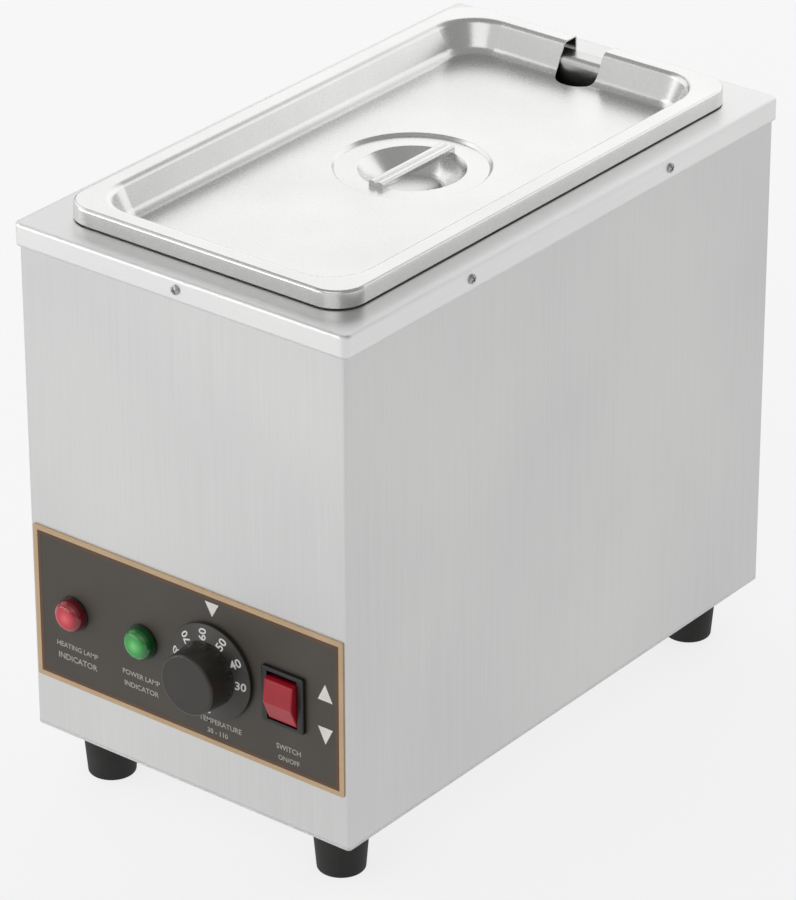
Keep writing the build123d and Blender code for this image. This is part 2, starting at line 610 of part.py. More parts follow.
def lid_sheet():
    """Deep-drawn lid: skirt, flat rim, sloped recess, stepped round dish and a ladle notch at the back."""
    offset = lid_mouth_offset()
    mouth_w = PAN_MOUTH_WIDTH + 2 * offset
    mouth_d = PAN_MOUTH_DEPTH + 2 * offset
    mouth_r = PAN_MOUTH_CORNER + offset
    length = math.hypot(LID_RECESS_RUN, LID_RECESS_DEPTH)
    wall = LID_SHEET * length / LID_RECESS_DEPTH
    drop = LID_SHEET * LID_RECESS_RUN / LID_RECESS_DEPTH
    lid = slab(LID_WIDTH, LID_DEPTH, LID_CORNER, LID_TOP_Z - LID_SKIRT_Z, LID_SKIRT_Z)
    lid = fillet(edges_at(lid, LID_TOP_Z), LID_EDGE_ROUND)
    hollow = slab(LID_WIDTH - 2 * LID_SHEET, LID_DEPTH - 2 * LID_SHEET, LID_CORNER - LID_SHEET,
                  LID_TOP_Z - LID_SHEET - LID_SKIRT_Z, LID_SKIRT_Z)
    lid -= fillet(edges_at(hollow, LID_TOP_Z - LID_SHEET), LID_EDGE_ROUND - LID_SHEET)
    under_run = LID_RECESS_RUN + drop
    under = funnel(mouth_w + 2 * wall, mouth_d + 2 * wall, mouth_r + wall, under_run,
                   LID_RECESS_DEPTH + LID_SHEET, LID_TOP_Z)
    under = fillet(edges_at(under, LID_FLOOR_Z - LID_SHEET), LID_FLOOR_ROUND + LID_SHEET)
    lid += under
    reach_x = (mouth_w + 2 * wall) / 2
    reach_y = (mouth_d + 2 * wall) / 2
    lid = fillet(inner_edges(lid, LID_TOP_Z - LID_SHEET, reach_x, reach_y), LID_MOUTH_ROUND - LID_SHEET)
    recess = funnel(mouth_w, mouth_d, mouth_r, LID_RECESS_RUN, LID_RECESS_DEPTH, LID_TOP_Z)
    lid -= fillet(edges_at(recess, LID_FLOOR_Z), LID_FLOOR_ROUND)
    lid = fillet(inner_edges(lid, LID_TOP_Z, mouth_w / 2 + FIT, mouth_d / 2 + FIT), LID_MOUTH_ROUND)
    lid += dish_solid(LID_SHEET)
    lid -= dish_solid(0.0)
    return lid - notch_cut()


def dish_solid(sheet):
    """Round stepped dish pressed into the lid's floor, grown outwards by the sheet's thickness."""
    top = LID_FLOOR_Z
    ring = LID_RING_Z - sheet
    bottom = LID_FLOOR_Z - LID_DISH_DEPTH - sheet
    step = LID_RING_DROP
    points = [
        (0, top),
        (LID_RING_RADIUS + step / 2 + sheet, top),
        (LID_RING_RADIUS - step / 2 + sheet, ring),
        (LID_DISH_RADIUS + sheet, ring),
        (LID_DISH_FLOOR_RADIUS + sheet, bottom),
        (0, bottom),
    ]
    face = make_face(Polyline(*points, close=True))
    solid = revolve(Plane.XZ * face, Axis.Z)
    solid = fillet(edges_at(solid, bottom), LID_DISH_ROUND - LID_SHEET + sheet)
    return Pos(0, LID_DISH_SHIFT, 0) * solid


def notch_cut():
    """Tool that cuts the ladle notch through the lid's back edge."""
    mouth = PAN_MOUTH_DEPTH / 2 + lid_mouth_offset() - LID_RECESS_RUN
    inner_y = mouth - NOTCH_REACH + NOTCH_WIDTH / 2
    height = LID_HEIGHT + LID_RECESS_DEPTH
    low_z = LID_TOP_Z - height
    straight = LID_DEPTH / 2 + LID_EDGE_ROUND - inner_y
    return (rod_z(NOTCH_WIDTH / 2, height, 0, inner_y, low_z)
            + block(NOTCH_WIDTH, straight, height, 0, inner_y + straight / 2, low_z))


def lid_handle():
    """Grooved strap across the dish, seated on the ring round it at both ends."""
    length = 2 * (LID_DISH_RADIUS + HANDLE_SEAT)
    strap = block(HANDLE_WIDTH, length, HANDLE_THICK, 0, LID_DISH_SHIFT, LID_RING_Z)
    long_edges = [e for e in edges_at(strap, LID_RING_Z + HANDLE_THICK) if abs(e.center().X) > FIT]
    strap = fillet(long_edges, HANDLE_ROLL)
    groove = rod_y(HANDLE_GROOVE / 2, length, 0, LID_DISH_SHIFT - length / 2, 0)
    top = LID_RING_Z + HANDLE_THICK
    return strap - Pos(0, 0, top + HANDLE_GROOVE / 2 - HANDLE_GROOVE_DEPTH) * groove


def water_tank():
    """Open tank with a flange that hangs under the deck."""
    height = TANK_TOP_Z - TANK_BOTTOM_Z
    tank = slab(TANK_WIDTH, TANK_DEPTH, TANK_CORNER, height, TANK_BOTTOM_Z)
    tank = fillet(edges_at(tank, TANK_BOTTOM_Z), TANK_FLOOR_ROUND + TANK_SHEET)
    tank += slab(TANK_WIDTH + 2 * TANK_FLANGE, TANK_DEPTH + 2 * TANK_FLANGE, TANK_CORNER + TANK_FLANGE,
                 TANK_SHEET, TANK_TOP_Z - TANK_SHEET)
    inside = slab(TANK_WIDTH - 2 * TANK_SHEET, TANK_DEPTH - 2 * TANK_SHEET, TANK_CORNER - TANK_SHEET,
                  TANK_TOP_Z - TANK_FLOOR_Z, TANK_FLOOR_Z)
    tank -= fillet(edges_at(inside, TANK_FLOOR_Z), TANK_FLOOR_ROUND)
    for x, y in tank_stud_places():
        tank -= rod_z(M4_RADIUS + HOLE_PLAY, TANK_SHEET, x, y, TANK_TOP_Z - TANK_SHEET)
    return tank


def tank_gasket():
    """Silicone seal between the tank's flange and the deck."""
    inner_w = TANK_WIDTH - 2 * TANK_SHEET
    inner_d = TANK_DEPTH - 2 * TANK_SHEET
    inner_r = TANK_CORNER - TANK_SHEET
    grow = TANK_SHEET + GASKET_WIDTH
    ring = slab(inner_w + 2 * grow, inner_d + 2 * grow, inner_r + grow, GASKET, TANK_TOP_Z)
    ring -= slab(inner_w, inner_d, inner_r, GASKET, TANK_TOP_Z)
    for x, y in tank_stud_places():
        ring -= rod_z(M4_RADIUS + HOLE_PLAY, GASKET, x, y, TANK_TOP_Z)
    return ring


def tank_studs():
    """Weld studs under the deck."""
    low_z = CASE_TOP_Z - TANK_STUD_LENGTH
    return group(*[rod_z(M4_RADIUS, TANK_STUD_LENGTH, x, y, low_z) for x, y in tank_stud_places()])


def tank_nuts():
    """Nuts that pull the tank's flange up against the deck."""
    low_z = TANK_TOP_Z - TANK_SHEET - M4_NUT
    return group(*[nut_z(M4_NUT_FLATS, M4_NUT, M4_RADIUS, x, y, low_z) for x, y in tank_stud_places()])


def heat_plate():
    """Aluminium plate that spreads the heat under the tank's floor."""
    return slab(PLATE_WIDTH, PLATE_DEPTH, SMALL_PLATE_CORNER, PLATE_THICK, TANK_BOTTOM_Z - PLATE_THICK)


def heating_element():
    """Sheathed hairpin element with two tails bent down and a pin at each end."""
    x = ELEMENT_HALF_WIDTH
    tail_z = ELEMENT_Z - ELEMENT_TAIL
    path = FilletPolyline(
        (-x, ELEMENT_FRONT_Y, tail_z),
        (-x, ELEMENT_FRONT_Y, ELEMENT_Z),
        (-x, ELEMENT_BACK_Y, ELEMENT_Z),
        (x, ELEMENT_BACK_Y, ELEMENT_Z),
        (x, ELEMENT_FRONT_Y, ELEMENT_Z),
        (x, ELEMENT_FRONT_Y, tail_z),
        radius=[ELEMENT_TAIL_BEND, ELEMENT_TURN, ELEMENT_TURN, ELEMENT_TAIL_BEND],
    )
    tube = sweep(Plane(origin=path @ 0, z_dir=path % 0) * Circle(ELEMENT_RADIUS), path=path)
    for sx in (-x, x):
        tube += rod_z(ELEMENT_PIN_RADIUS, ELEMENT_PIN + FIT, sx, ELEMENT_FRONT_Y, tail_z - ELEMENT_PIN)
    return tube


def clamp_places():
    """Centres of the studs of the element's two clamp bars."""
    return [(sx * CLAMP_STUD_X, sy * CLAMP_Y) for sy in (-1, 1) for sx in (-1, 1)]


def clamp_bars():
    """Bars that press the element against its plate."""
    low_z = ELEMENT_UNDER_Z - CLAMP_BAR
    bars = [slab(CLAMP_BAR_LENGTH, CLAMP_BAR_WIDTH, SMALL_PLATE_CORNER, CLAMP_BAR, low_z, 0, sy * CLAMP_Y)
            for sy in (-1, 1)]
    holes = [rod_z(M4_RADIUS + HOLE_PLAY, CLAMP_BAR, x, y, low_z) for x, y in clamp_places()]
    return group(*[bar - holes[2 * i] - holes[2 * i + 1] for i, bar in enumerate(bars)])


def clamp_studs():
    """Weld studs under the tank's floor, one at each end of each clamp bar."""
    low_z = ELEMENT_UNDER_Z - CLAMP_BAR - M4_NUT - THREAD_TAIL
    return group(*[rod_z(M4_RADIUS, TANK_BOTTOM_Z - low_z, x, y, low_z) for x, y in clamp_places()])


def clamp_nuts():
    """Nuts under the clamp bars."""
    low_z = ELEMENT_UNDER_Z - CLAMP_BAR - M4_NUT
    return group(*[nut_z(M4_NUT_FLATS, M4_NUT, M4_RADIUS, x, y, low_z) for x, y in clamp_places()])


def cutout_stud_places():
    """Centres of the two studs that hold the safety cut-out's strap."""
    return [(s * CUTOUT_STUD_X, CUTOUT_Y) for s in (-1, 1)]


def safety_cutout():
    """Round over-temperature cut-out against the tank's floor, with two tabs."""
    low_z = TANK_BOTTOM_Z - CUTOUT_HEIGHT
    disc = rod_z(CUTOUT_RADIUS, CUTOUT_HEIGHT, 0, CUTOUT_Y, low_z)
    disc = fillet(edges_at(disc, low_z), CUTOUT_ROUND)
    for sy in (-1, 1):
        tab_y = CUTOUT_Y + sy * CUTOUT_STRAP_WIDTH
        disc += block(BLADE_WIDTH, TAG_THICK, BLADE_LENGTH + FIT, 0, tab_y, low_z - BLADE_LENGTH)
    return disc


def cutout_strap():
    """Flat strap that holds the cut-out against the tank."""
    top_z = TANK_BOTTOM_Z - CUTOUT_HEIGHT
    length = 2 * (CUTOUT_STUD_X + CUTOUT_STRAP_WIDTH / 2)
    low_z = top_z - CUTOUT_STRAP
    strap = slab(length, CUTOUT_STRAP_WIDTH, SMALL_PLATE_CORNER, CUTOUT_STRAP, low_z, 0, CUTOUT_Y)
    for x, y in cutout_stud_places():
        strap -= rod_z(M3_RADIUS + HOLE_PLAY, CUTOUT_STRAP, x, y, low_z)
    return strap


def cutout_studs():
    """Weld studs with nuts that carry the strap."""
    under = TANK_BOTTOM_Z - CUTOUT_HEIGHT - CUTOUT_STRAP
    low_z = under - M4_NUT - THREAD_TAIL
    parts = []
    for x, y in cutout_stud_places():
        parts.append(rod_z(M3_RADIUS, TANK_BOTTOM_Z - low_z, x, y, low_z))
        parts.append(nut_z(M4_NUT_FLATS, M4_NUT, M3_RADIUS, x, y, under - M4_NUT))
    return group(*parts)


def bulb_pocket():
    """Tube brazed under the tank's floor that the thermostat's bulb slides into."""
    radius = BULB_RADIUS + BULB_PLAY
    z = TANK_BOTTOM_Z - radius - POCKET_WALL
    tube = rod_y(radius + POCKET_WALL, POCKET_LENGTH, POCKET_X, POCKET_MOUTH_Y, z)
    return tube - rod_y(radius, POCKET_LENGTH - POCKET_WALL, POCKET_X, POCKET_MOUTH_Y, z)


def capillary():
    """Copper capillary from the thermostat to its bulb in the pocket."""
    bulb_z = TANK_BOTTOM_Z - BULB_RADIUS - BULB_PLAY - POCKET_WALL
    start_x = KNOB_X + CAPILLARY_OFFSET_X
    route = [
        (start_x, STAT_BACK_Y, CONTROL_Z),
        (start_x, STAT_BACK_Y + 2 * CAPILLARY_BEND, CONTROL_Z),
        (start_x, STAT_BACK_Y + 2 * CAPILLARY_BEND, bulb_z - CAPILLARY_BEND),
        (POCKET_X, STAT_BACK_Y + 2 * CAPILLARY_BEND, bulb_z),
        (POCKET_X, POCKET_MOUTH_Y, bulb_z),
    ]
    path = FilletPolyline(*route, radius=[CAPILLARY_FIRST_BEND, CAPILLARY_SIDE_BEND, CAPILLARY_BEND])
    tube = sweep(Plane(origin=path @ 0, z_dir=path % 0) * Circle(CAPILLARY_RADIUS), path=path)
    return tube + rod_y(BULB_RADIUS, BULB_LENGTH, POCKET_X, POCKET_MOUTH_Y - FIT, bulb_z)


def thermostat_bracket():
    """Steel plate behind the front wall that carries the thermostat."""
    plate = upright(STAT_BRACKET_WIDTH, STAT_BRACKET_HEIGHT, SMALL_PLATE_CORNER, STAT_BRACKET,
                    WALL_INSIDE_Y, KNOB_X, CONTROL_Z)
    plate -= rod_y(SHAFT_RADIUS + SHAFT_WALL_PLAY, STAT_BRACKET, KNOB_X, WALL_INSIDE_Y, CONTROL_Z)
    for x, z in stat_screw_places():
        plate -= rod_y(M4_RADIUS + FIT, STAT_BRACKET, x, WALL_INSIDE_Y, z)
    return plate


def thermostat_body():
    """Thermostat case with a bore for its shaft and spade tags on its underside."""
    body = upright(STAT_BODY_WIDTH, STAT_BODY_HEIGHT, STAT_BODY_ROUND, STAT_BODY_DEPTH, STAT_FRONT_Y, KNOB_X,
                   CONTROL_Z)
    body -= rod_y(SHAFT_RADIUS + RUNNING_FIT, SHAFT_IN_BODY + HOLE_PLAY, KNOB_X, STAT_FRONT_Y, CONTROL_Z)
    for i in range(STAT_TAGS):
        x = KNOB_X + (i - (STAT_TAGS - 1) / 2) * STAT_TAG_PITCH
        y = STAT_BACK_Y - STAT_BODY_ROUND
        low_z = CONTROL_Z - STAT_BODY_HEIGHT / 2 - BLADE_LENGTH
        body += block(BLADE_WIDTH, TAG_THICK, BLADE_LENGTH + FIT, x, y, low_z)
    return body


def thermostat_screws():
    """Screws through the panel and the front wall into the bracket."""
    screws = []
    for x, z in stat_screw_places():
        head = rod_y(PAN_HEAD_RADIUS, PAN_HEAD, x, PANEL_FRONT_Y - PAN_HEAD, z)
        length = PANEL_THICK + CASE_SHEET + STAT_BRACKET
        screws.append(head + rod_y(M4_RADIUS, length, x, PANEL_FRONT_Y, z))
    return group(*screws)


def thermostat_shaft():
    """Turning shaft between the thermostat and the knob."""
    front = KNOB_BACK_Y - SHAFT_IN_KNOB
    return rod_y(SHAFT_RADIUS, STAT_FRONT_Y + SHAFT_IN_BODY - front, KNOB_X, front, CONTROL_Z)


def temperature_knob():
    """Knob with a numbered skirt, a fluted grip and a hollow back that clears the screw heads."""
    tip = KNOB_SKIRT + KNOB_GRIP
    skirt_top = KNOB_SKIRT
    profile = [
        (0, 0),
        (KNOB_SKIRT_RADIUS, 0),
        (KNOB_SKIRT_RADIUS, KNOB_SKIRT_EDGE),
        (KNOB_GRIP_RADIUS, skirt_top),
        (KNOB_GRIP_TIP_RADIUS, tip),
        (0, tip),
    ]
    face = make_face(Polyline(*profile, close=True))
    knob = revolve(Plane.XZ * face, Axis.Z)
    knob = fillet(edges_at(knob, tip), KNOB_TIP_ROUND)
    reach = KNOB_GRIP_RADIUS + KNOB_FLUTE_RADIUS - KNOB_FLUTE_BITE
    flute = rod_z(KNOB_FLUTE_RADIUS, KNOB_GRIP, reach, 0, skirt_top + KNOB_FLUTE_TOP / 2)
    for i in range(KNOB_FLUTES):
        knob -= Rot(0, 0, 360 * i / KNOB_FLUTES) * flute
    knob -= rod_z(KNOB_HOLLOW_RADIUS, KNOB_HOLLOW) - rod_z(KNOB_BOSS_RADIUS, KNOB_HOLLOW)
    knob -= rod_z(SHAFT_RADIUS + FIT, SHAFT_IN_KNOB)
    return Pos(KNOB_X, KNOB_BACK_Y, CONTROL_Z) * Rot(90, 0, 0) * knob


def control_panel():
    """Printed metal panel on the front wall."""
    panel = upright(PANEL_WIDTH, PANEL_HEIGHT, PANEL_CORNER, PANEL_THICK, PANEL_FRONT_Y, 0, CONTROL_Z)
    for cut in front_openings(PANEL_FRONT_Y, PANEL_THICK):
        panel -= cut
    return panel


def lamp_lens(x):
    """Domed lens of a pilot lamp, clipped over its holder."""
    front = PANEL_FRONT_Y - HOLDER_FLANGE
    dome = rod_z(LENS_RADIUS, LENS_HEIGHT)
    dome = fillet(edges_at(dome, LENS_HEIGHT), LENS_HEIGHT - LENS_RIM)
    dome -= rod_z(LENS_RADIUS - LENS_WALL, LENS_RIM)
    return Pos(x, front, CONTROL_Z) * Rot(90, 0, 0) * dome


def lamp_holders():
    """Flanged lamp bodies through the front wall, with two tags each."""
    holders = []
    for x in (RED_LAMP_X, GREEN_LAMP_X):
        body = rod_y(HOLDER_FLANGE_RADIUS, HOLDER_FLANGE, x, PANEL_FRONT_Y - HOLDER_FLANGE, CONTROL_Z)
        spigot_y = PANEL_FRONT_Y - HOLDER_FLANGE - LENS_RIM + FIT
        body += rod_y(LENS_RADIUS - LENS_WALL - FIT, LENS_RIM, x, spigot_y, CONTROL_Z)
        body += rod_y(HOLDER_RADIUS, HOLDER_LENGTH, x, PANEL_FRONT_Y, CONTROL_Z)
        for s in (-1, 1):
            tag_y = PANEL_FRONT_Y + HOLDER_LENGTH + LAMP_TAG_LENGTH / 2
            tag_z = CONTROL_Z + s * LAMP_TAG_SPACING / 2
            body += Pos(x, tag_y - FIT, tag_z) * Box(TAG_WIDTH, LAMP_TAG_LENGTH, TAG_THICK)
        holders.append(body)
    return group(*holders)


def lamp_nuts():
    """Nuts behind the front wall on the lamp holders."""
    nuts = []
    for x in (RED_LAMP_X, GREEN_LAMP_X):
        nut = hex_y(LAMP_NUT_FLATS, LAMP_NUT, x, WALL_INSIDE_Y, CONTROL_Z)
        nuts.append(nut - rod_y(HOLDER_RADIUS + FIT, LAMP_NUT, x, WALL_INSIDE_Y, CONTROL_Z))
    return group(*nuts)


def switch_housing():
    """Switch body with its front frame and the well that the rocker sits in."""
    frame = upright(SWITCH_FRAME_WIDTH, SWITCH_FRAME_HEIGHT, SWITCH_FRAME_CORNER, SWITCH_FRAME,
                    PANEL_FRONT_Y - SWITCH_FRAME)
    rim = [e for e in frame.edges() if abs(e.center().Y - (PANEL_FRONT_Y - SWITCH_FRAME)) < FIT]
    frame = fillet(rim, SWITCH_FRAME_EDGE)
    depth = SWITCH_BODY_DEPTH
    housing = frame + Pos(0, PANEL_FRONT_Y + depth / 2, 0) * Box(SWITCH_BODY_WIDTH, depth, SWITCH_BODY_HEIGHT)
    well_w = ROCKER_WIDTH + 2 * ROCKER_PLAY
    well_h = 2 * rocker_swing() + 2 * ROCKER_PLAY
    well_y = PANEL_FRONT_Y - SWITCH_FRAME + SWITCH_WELL_DEPTH / 2
    housing -= Pos(0, well_y, 0) * Box(well_w, SWITCH_WELL_DEPTH, well_h)
    pin_span = ROCKER_WIDTH + 2 * (PIVOT_LENGTH + HOLE_PLAY)
    housing -= rod_x(PIVOT_RADIUS + RUNNING_FIT, pin_span, 0, PIVOT_Y, 0)
    return Pos(SWITCH_X, 0, CONTROL_Z) * housing


def rocker_swing():
    """Greatest half height that the rocker's corners reach between its two stops."""
    front = rocker_ridge_reach() - math.tan(math.radians(ROCKER_SLOPE)) * ROCKER_HEIGHT / 2
    radius = math.hypot(front, ROCKER_HEIGHT / 2)
    angle = math.atan2(ROCKER_HEIGHT / 2, front) + math.radians(ROCKER_TILT)
    return radius * math.sin(angle)


def rocker_ridge_reach():
    """Distance from the pivot to the rocker's ridge."""
    return ROCKER_PIVOT_DEPTH + ROCKER_RIDGE


def switch_rocker():
    """Ridged rocker on two short pins, tipped with its lower end pressed in."""
    reach = rocker_ridge_reach()
    corner = reach - math.tan(math.radians(ROCKER_SLOPE)) * ROCKER_HEIGHT / 2
    half = ROCKER_HEIGHT / 2
    tail = ROCKER_TAIL
    outline = [
        (-reach, 0),
        (-corner, half),
        (-corner + ROCKER_SHOULDER, half),
        (tail, ROCKER_TAIL_HALF_HEIGHT),
        (tail, -ROCKER_TAIL_HALF_HEIGHT),
        (-corner + ROCKER_SHOULDER, -half),
        (-corner, -half),
    ]
    face = make_face(Polyline(*outline, close=True))
    rocker = extrude(Plane.YZ * face, ROCKER_WIDTH / 2, both=True)
    front = [e for e in rocker.edges() if e.center().Y < -corner + FIT]
    rocker = fillet(front, ROCKER_ROUND)
    rocker += rod_x(PIVOT_RADIUS, ROCKER_WIDTH + 2 * PIVOT_LENGTH)
    return Pos(SWITCH_X, PIVOT_Y, CONTROL_Z) * Rot(ROCKER_TILT, 0, 0) * rocker


def switch_blades():
    """Four spade blades on the back of the switch."""
    back = PANEL_FRONT_Y + SWITCH_BODY_DEPTH
    blades = []
    for sx in (-1, 1):
        for sz in (-1, 1):
            place = Pos(SWITCH_X + sx * BLADE_X, back + BLADE_LENGTH / 2, CONTROL_Z + sz * BLADE_Z)
            blades.append(place * Box(BLADE_WIDTH, BLADE_LENGTH, TAG_THICK))
    return group(*blades)


def cable_gland():
    """Gland body: outside flange and spigot, and a threaded stub through the back wall."""
    gland = hex_y(GLAND_FLATS, GLAND_FLANGE, GLAND_X, BACK_Y, GLAND_Z)
    gland += rod_y(GLAND_THREAD_RADIUS, GLAND_SPIGOT, GLAND_X, BACK_Y + GLAND_FLANGE, GLAND_Z)
    gland += rod_y(GLAND_THREAD_RADIUS, GLAND_INNER_LENGTH, GLAND_X, BACK_Y - GLAND_INNER_LENGTH, GLAND_Z)
    length = GLAND_INNER_LENGTH + GLAND_FLANGE + GLAND_SPIGOT
    return gland - rod_y(GLAND_BORE_RADIUS, length, GLAND_X, BACK_Y - GLAND_INNER_LENGTH, GLAND_Z)


def gland_cap():
    """Hexagon cap that squeezes the seal."""
    start = BACK_Y + GLAND_FLANGE
    cap = rod_z(GLAND_FLATS / 2, GLAND_CAP_LENGTH)
    cap = fillet(edges_at(cap, GLAND_CAP_LENGTH), GLAND_CAP_ROUND)
    cap &= hex_z(GLAND_FLATS - HOLE_PLAY, GLAND_CAP_LENGTH)
    cap -= rod_z(GLAND_THREAD_RADIUS + FIT, GLAND_SPIGOT + HOLE_PLAY)
    cap -= rod_z(GLAND_CAP_MOUTH_RADIUS, GLAND_CAP_LENGTH)
    return Pos(GLAND_X, start, GLAND_Z) * Rot(-90, 0, 0) * cap


def gland_seal():
    """Rubber ring inside the gland that grips the cord."""
    start = BACK_Y + GLAND_FLANGE + GLAND_SPIGOT - GLAND_SEAL_LENGTH
    ring = rod_y(GLAND_BORE_RADIUS - FIT, GLAND_SEAL_LENGTH, GLAND_X, start, GLAND_Z)
    return ring - rod_y(GLAND_SEAL_BORE_RADIUS, GLAND_SEAL_LENGTH, GLAND_X, start, GLAND_Z)


def gland_locknut():
    """Nut on the gland's stub, inside the back wall."""
    start = BACK_Y - CASE_SHEET - LOCKNUT
    nut = hex_y(LOCKNUT_FLATS, LOCKNUT, GLAND_X, start, GLAND_Z)
    return nut - rod_y(GLAND_THREAD_RADIUS + FIT, LOCKNUT, GLAND_X, start, GLAND_Z)


def block_screw_places():
    """Centres of the two screws that hold the terminal block."""
    half = BLOCK_PITCH / 2
    return [(BLOCK_X + s * half, BLOCK_Y) for s in (-1, 1)]


def terminal_block():
    """Ceramic block with a wire bore for each pole and two fixing holes."""
    base = FOOT_HEIGHT + BASE_SHEET
    body = block(BLOCK_WIDTH, BLOCK_DEPTH, BLOCK_HEIGHT, BLOCK_X, BLOCK_Y, base)
    body = fillet(edges_at(body, base + BLOCK_HEIGHT), BLOCK_ROUND)
    for i in range(BLOCK_POLES):
        x = BLOCK_X + (i - (BLOCK_POLES - 1) / 2) * BLOCK_PITCH
        body -= rod_y(BLOCK_BORE_RADIUS, BLOCK_DEPTH, x, BLOCK_Y - BLOCK_DEPTH / 2, base + BLOCK_BORE_HEIGHT)
    for x, y in block_screw_places():
        body -= rod_z(M3_RADIUS + HOLE_PLAY, BLOCK_HEIGHT, x, y, base)
    return body


def block_screws():
    """Screws that hold the terminal block to the base plate."""
    top = FOOT_HEIGHT + BASE_SHEET + BLOCK_HEIGHT
    screws = []
    for x, y in block_screw_places():
        head = rod_z(SMALL_HEAD_RADIUS, SMALL_HEAD, x, y, top)
        screws.append(head + rod_z(M3_RADIUS, BLOCK_HEIGHT + BASE_SHEET, x, y, FOOT_HEIGHT))
    return group(*screws)


def earth_stud():
    """Earth stud in the base plate."""
    return rod_z(M4_RADIUS, EARTH_LENGTH, EARTH_X, EARTH_Y, FOOT_HEIGHT)


def earth_nuts():
    """Two nuts on the earth stud."""
    base = FOOT_HEIGHT + BASE_SHEET
    return group(*[nut_z(M4_NUT_FLATS, M4_NUT, M4_RADIUS, EARTH_X, EARTH_Y, base + i * (M4_NUT + WASHER))
                   for i in range(2)])


def write_parts():
    """Makes every node and writes it, moved so that the origin is under the middle of the whole object."""
    makers = {
        "body_shell": body_shell,
        "top_cover": top_cover,
        "cover_screws": cover_screws,
        "base_plate": base_plate,
        "base_screws": base_screws,
        "foot_washers": foot_washers,
        "foot_bolts": foot_bolts,
        "foot_nuts": foot_nuts,
        "water_tank": water_tank,
        "tank_gasket": tank_gasket,
        "tank_studs": tank_studs,
        "tank_nuts": tank_nuts,
        "heat_plate": heat_plate,
        "heating_element": heating_element,
        "element_clamp_bars": clamp_bars,
        "element_clamp_studs": clamp_studs,
        "element_clamp_nuts": clamp_nuts,
        "safety_cutout": safety_cutout,
        "cutout_strap": cutout_strap,
        "cutout_studs": cutout_studs,
        "bulb_pocket": bulb_pocket,
        "thermostat_capillary": capillary,
        "thermostat_bracket": thermostat_bracket,
        "thermostat_body": thermostat_body,
        "thermostat_screws": thermostat_screws,
        "thermostat_shaft": thermostat_shaft,
        "temperature_knob": temperature_knob,
        "control_panel": control_panel,
        "red_lamp_lens": lambda: lamp_lens(RED_LAMP_X),
        "green_lamp_lens": lambda: lamp_lens(GREEN_LAMP_X),
        "lamp_holders": lamp_holders,
        "lamp_nuts": lamp_nuts,
        "switch_housing": switch_housing,
        "switch_rocker": switch_rocker,
        "switch_blades": switch_blades,
        "cable_gland": cable_gland,
        "gland_cap": gland_cap,
        "gland_seal": gland_seal,
        "gland_locknut": gland_locknut,
        "terminal_block": terminal_block,
        "terminal_screws": block_screws,
        "earth_stud": earth_stud,
        "earth_nuts": earth_nuts,
        "food_pan": food_pan,
        "lid": lid_sheet,
        "lid_handle": lid_handle,
    }
    names = ("foot_front_left", "foot_front_right", "foot_back_left", "foot_back_right")
    for name, (x, y) in zip(names, case_corners()):
        makers[name] = lambda x=x, y=y: foot(x, y)
    os.makedirs("parts", exist_ok=True)
    for name, make in makers.items():
        nodes[name] = Pos(0, -ORIGIN_Y, 0) * make()
        export_step(nodes[name], f"parts/{name}.step")


write_parts()
print("knob axis at", KNOB_X, -ORIGIN_Y, CONTROL_Z)
print("rocker pivot at", SWITCH_X, PIVOT_Y - ORIGIN_Y, CONTROL_Z)
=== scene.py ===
"""Counter-top chocolate melter: finishes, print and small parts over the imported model, with a plain studio.

A length whose name ends in _mm or _MM is in millimetres, and mm() turns it to metres; every other length
is in metres. +Z is up, the front faces -Y, and the feet stand on Z = 0.
"""

import logging
import math
from collections.abc import Iterable
from dataclasses import dataclass, field
from enum import Enum
from typing import Protocol

import bmesh
import bpy
from mathutils import Euler, Matrix, Vector

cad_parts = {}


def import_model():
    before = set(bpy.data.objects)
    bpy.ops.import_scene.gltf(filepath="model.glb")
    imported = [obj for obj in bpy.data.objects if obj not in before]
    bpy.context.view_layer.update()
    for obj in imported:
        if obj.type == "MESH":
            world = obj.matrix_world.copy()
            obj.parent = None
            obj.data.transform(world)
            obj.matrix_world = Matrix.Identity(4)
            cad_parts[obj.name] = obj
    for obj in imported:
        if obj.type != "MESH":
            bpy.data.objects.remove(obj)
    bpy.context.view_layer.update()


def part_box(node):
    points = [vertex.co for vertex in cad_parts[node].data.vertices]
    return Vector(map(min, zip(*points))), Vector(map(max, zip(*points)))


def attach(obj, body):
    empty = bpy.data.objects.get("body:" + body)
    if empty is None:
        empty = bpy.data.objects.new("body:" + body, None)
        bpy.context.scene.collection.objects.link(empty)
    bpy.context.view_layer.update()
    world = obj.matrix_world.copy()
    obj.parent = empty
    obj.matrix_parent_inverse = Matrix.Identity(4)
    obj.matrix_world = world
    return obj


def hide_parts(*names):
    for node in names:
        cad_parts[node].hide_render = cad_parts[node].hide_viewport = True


LOG = logging.getLogger("melter")

# Print: thickness of the ink, height of the font's capitals as a share of its size, and steps in a letter's
# curves
INK_MM = 0.06
CAPITAL_SHARE = 0.7
LETTER_STEPS = 3

# Meshes: points nearer than this are one, and edges sharper than this stay sharp
WELD_MM = 0.0001
SHARP_DEG = 35.0

# Finishes: the span that a noise texture really fills; the cosine between the true and the softened normal
# where wear starts and where it is full; the softened edge's samples, the grain's bump strength and the clear
# coat's roughness
NOISE_LOW, NOISE_HIGH = 0.3, 0.7
WEAR_START, WEAR_FULL = 0.995, 0.85
EDGE_SAMPLES = 4
GRAIN_BUMP = 0.6
COAT_ROUGHNESS = 0.06

# Camera: width of the sensor that the focal length belongs to, and the nearest and farthest distance drawn
SENSOR_MM = 36.0
CLIP_NEAR, CLIP_FAR = 0.1, 30.0

WHITE = (1.0, 1.0, 1.0, 1.0)


def mm(length: float) -> float:
    """Millimetres as metres."""
    return length / 1000.0


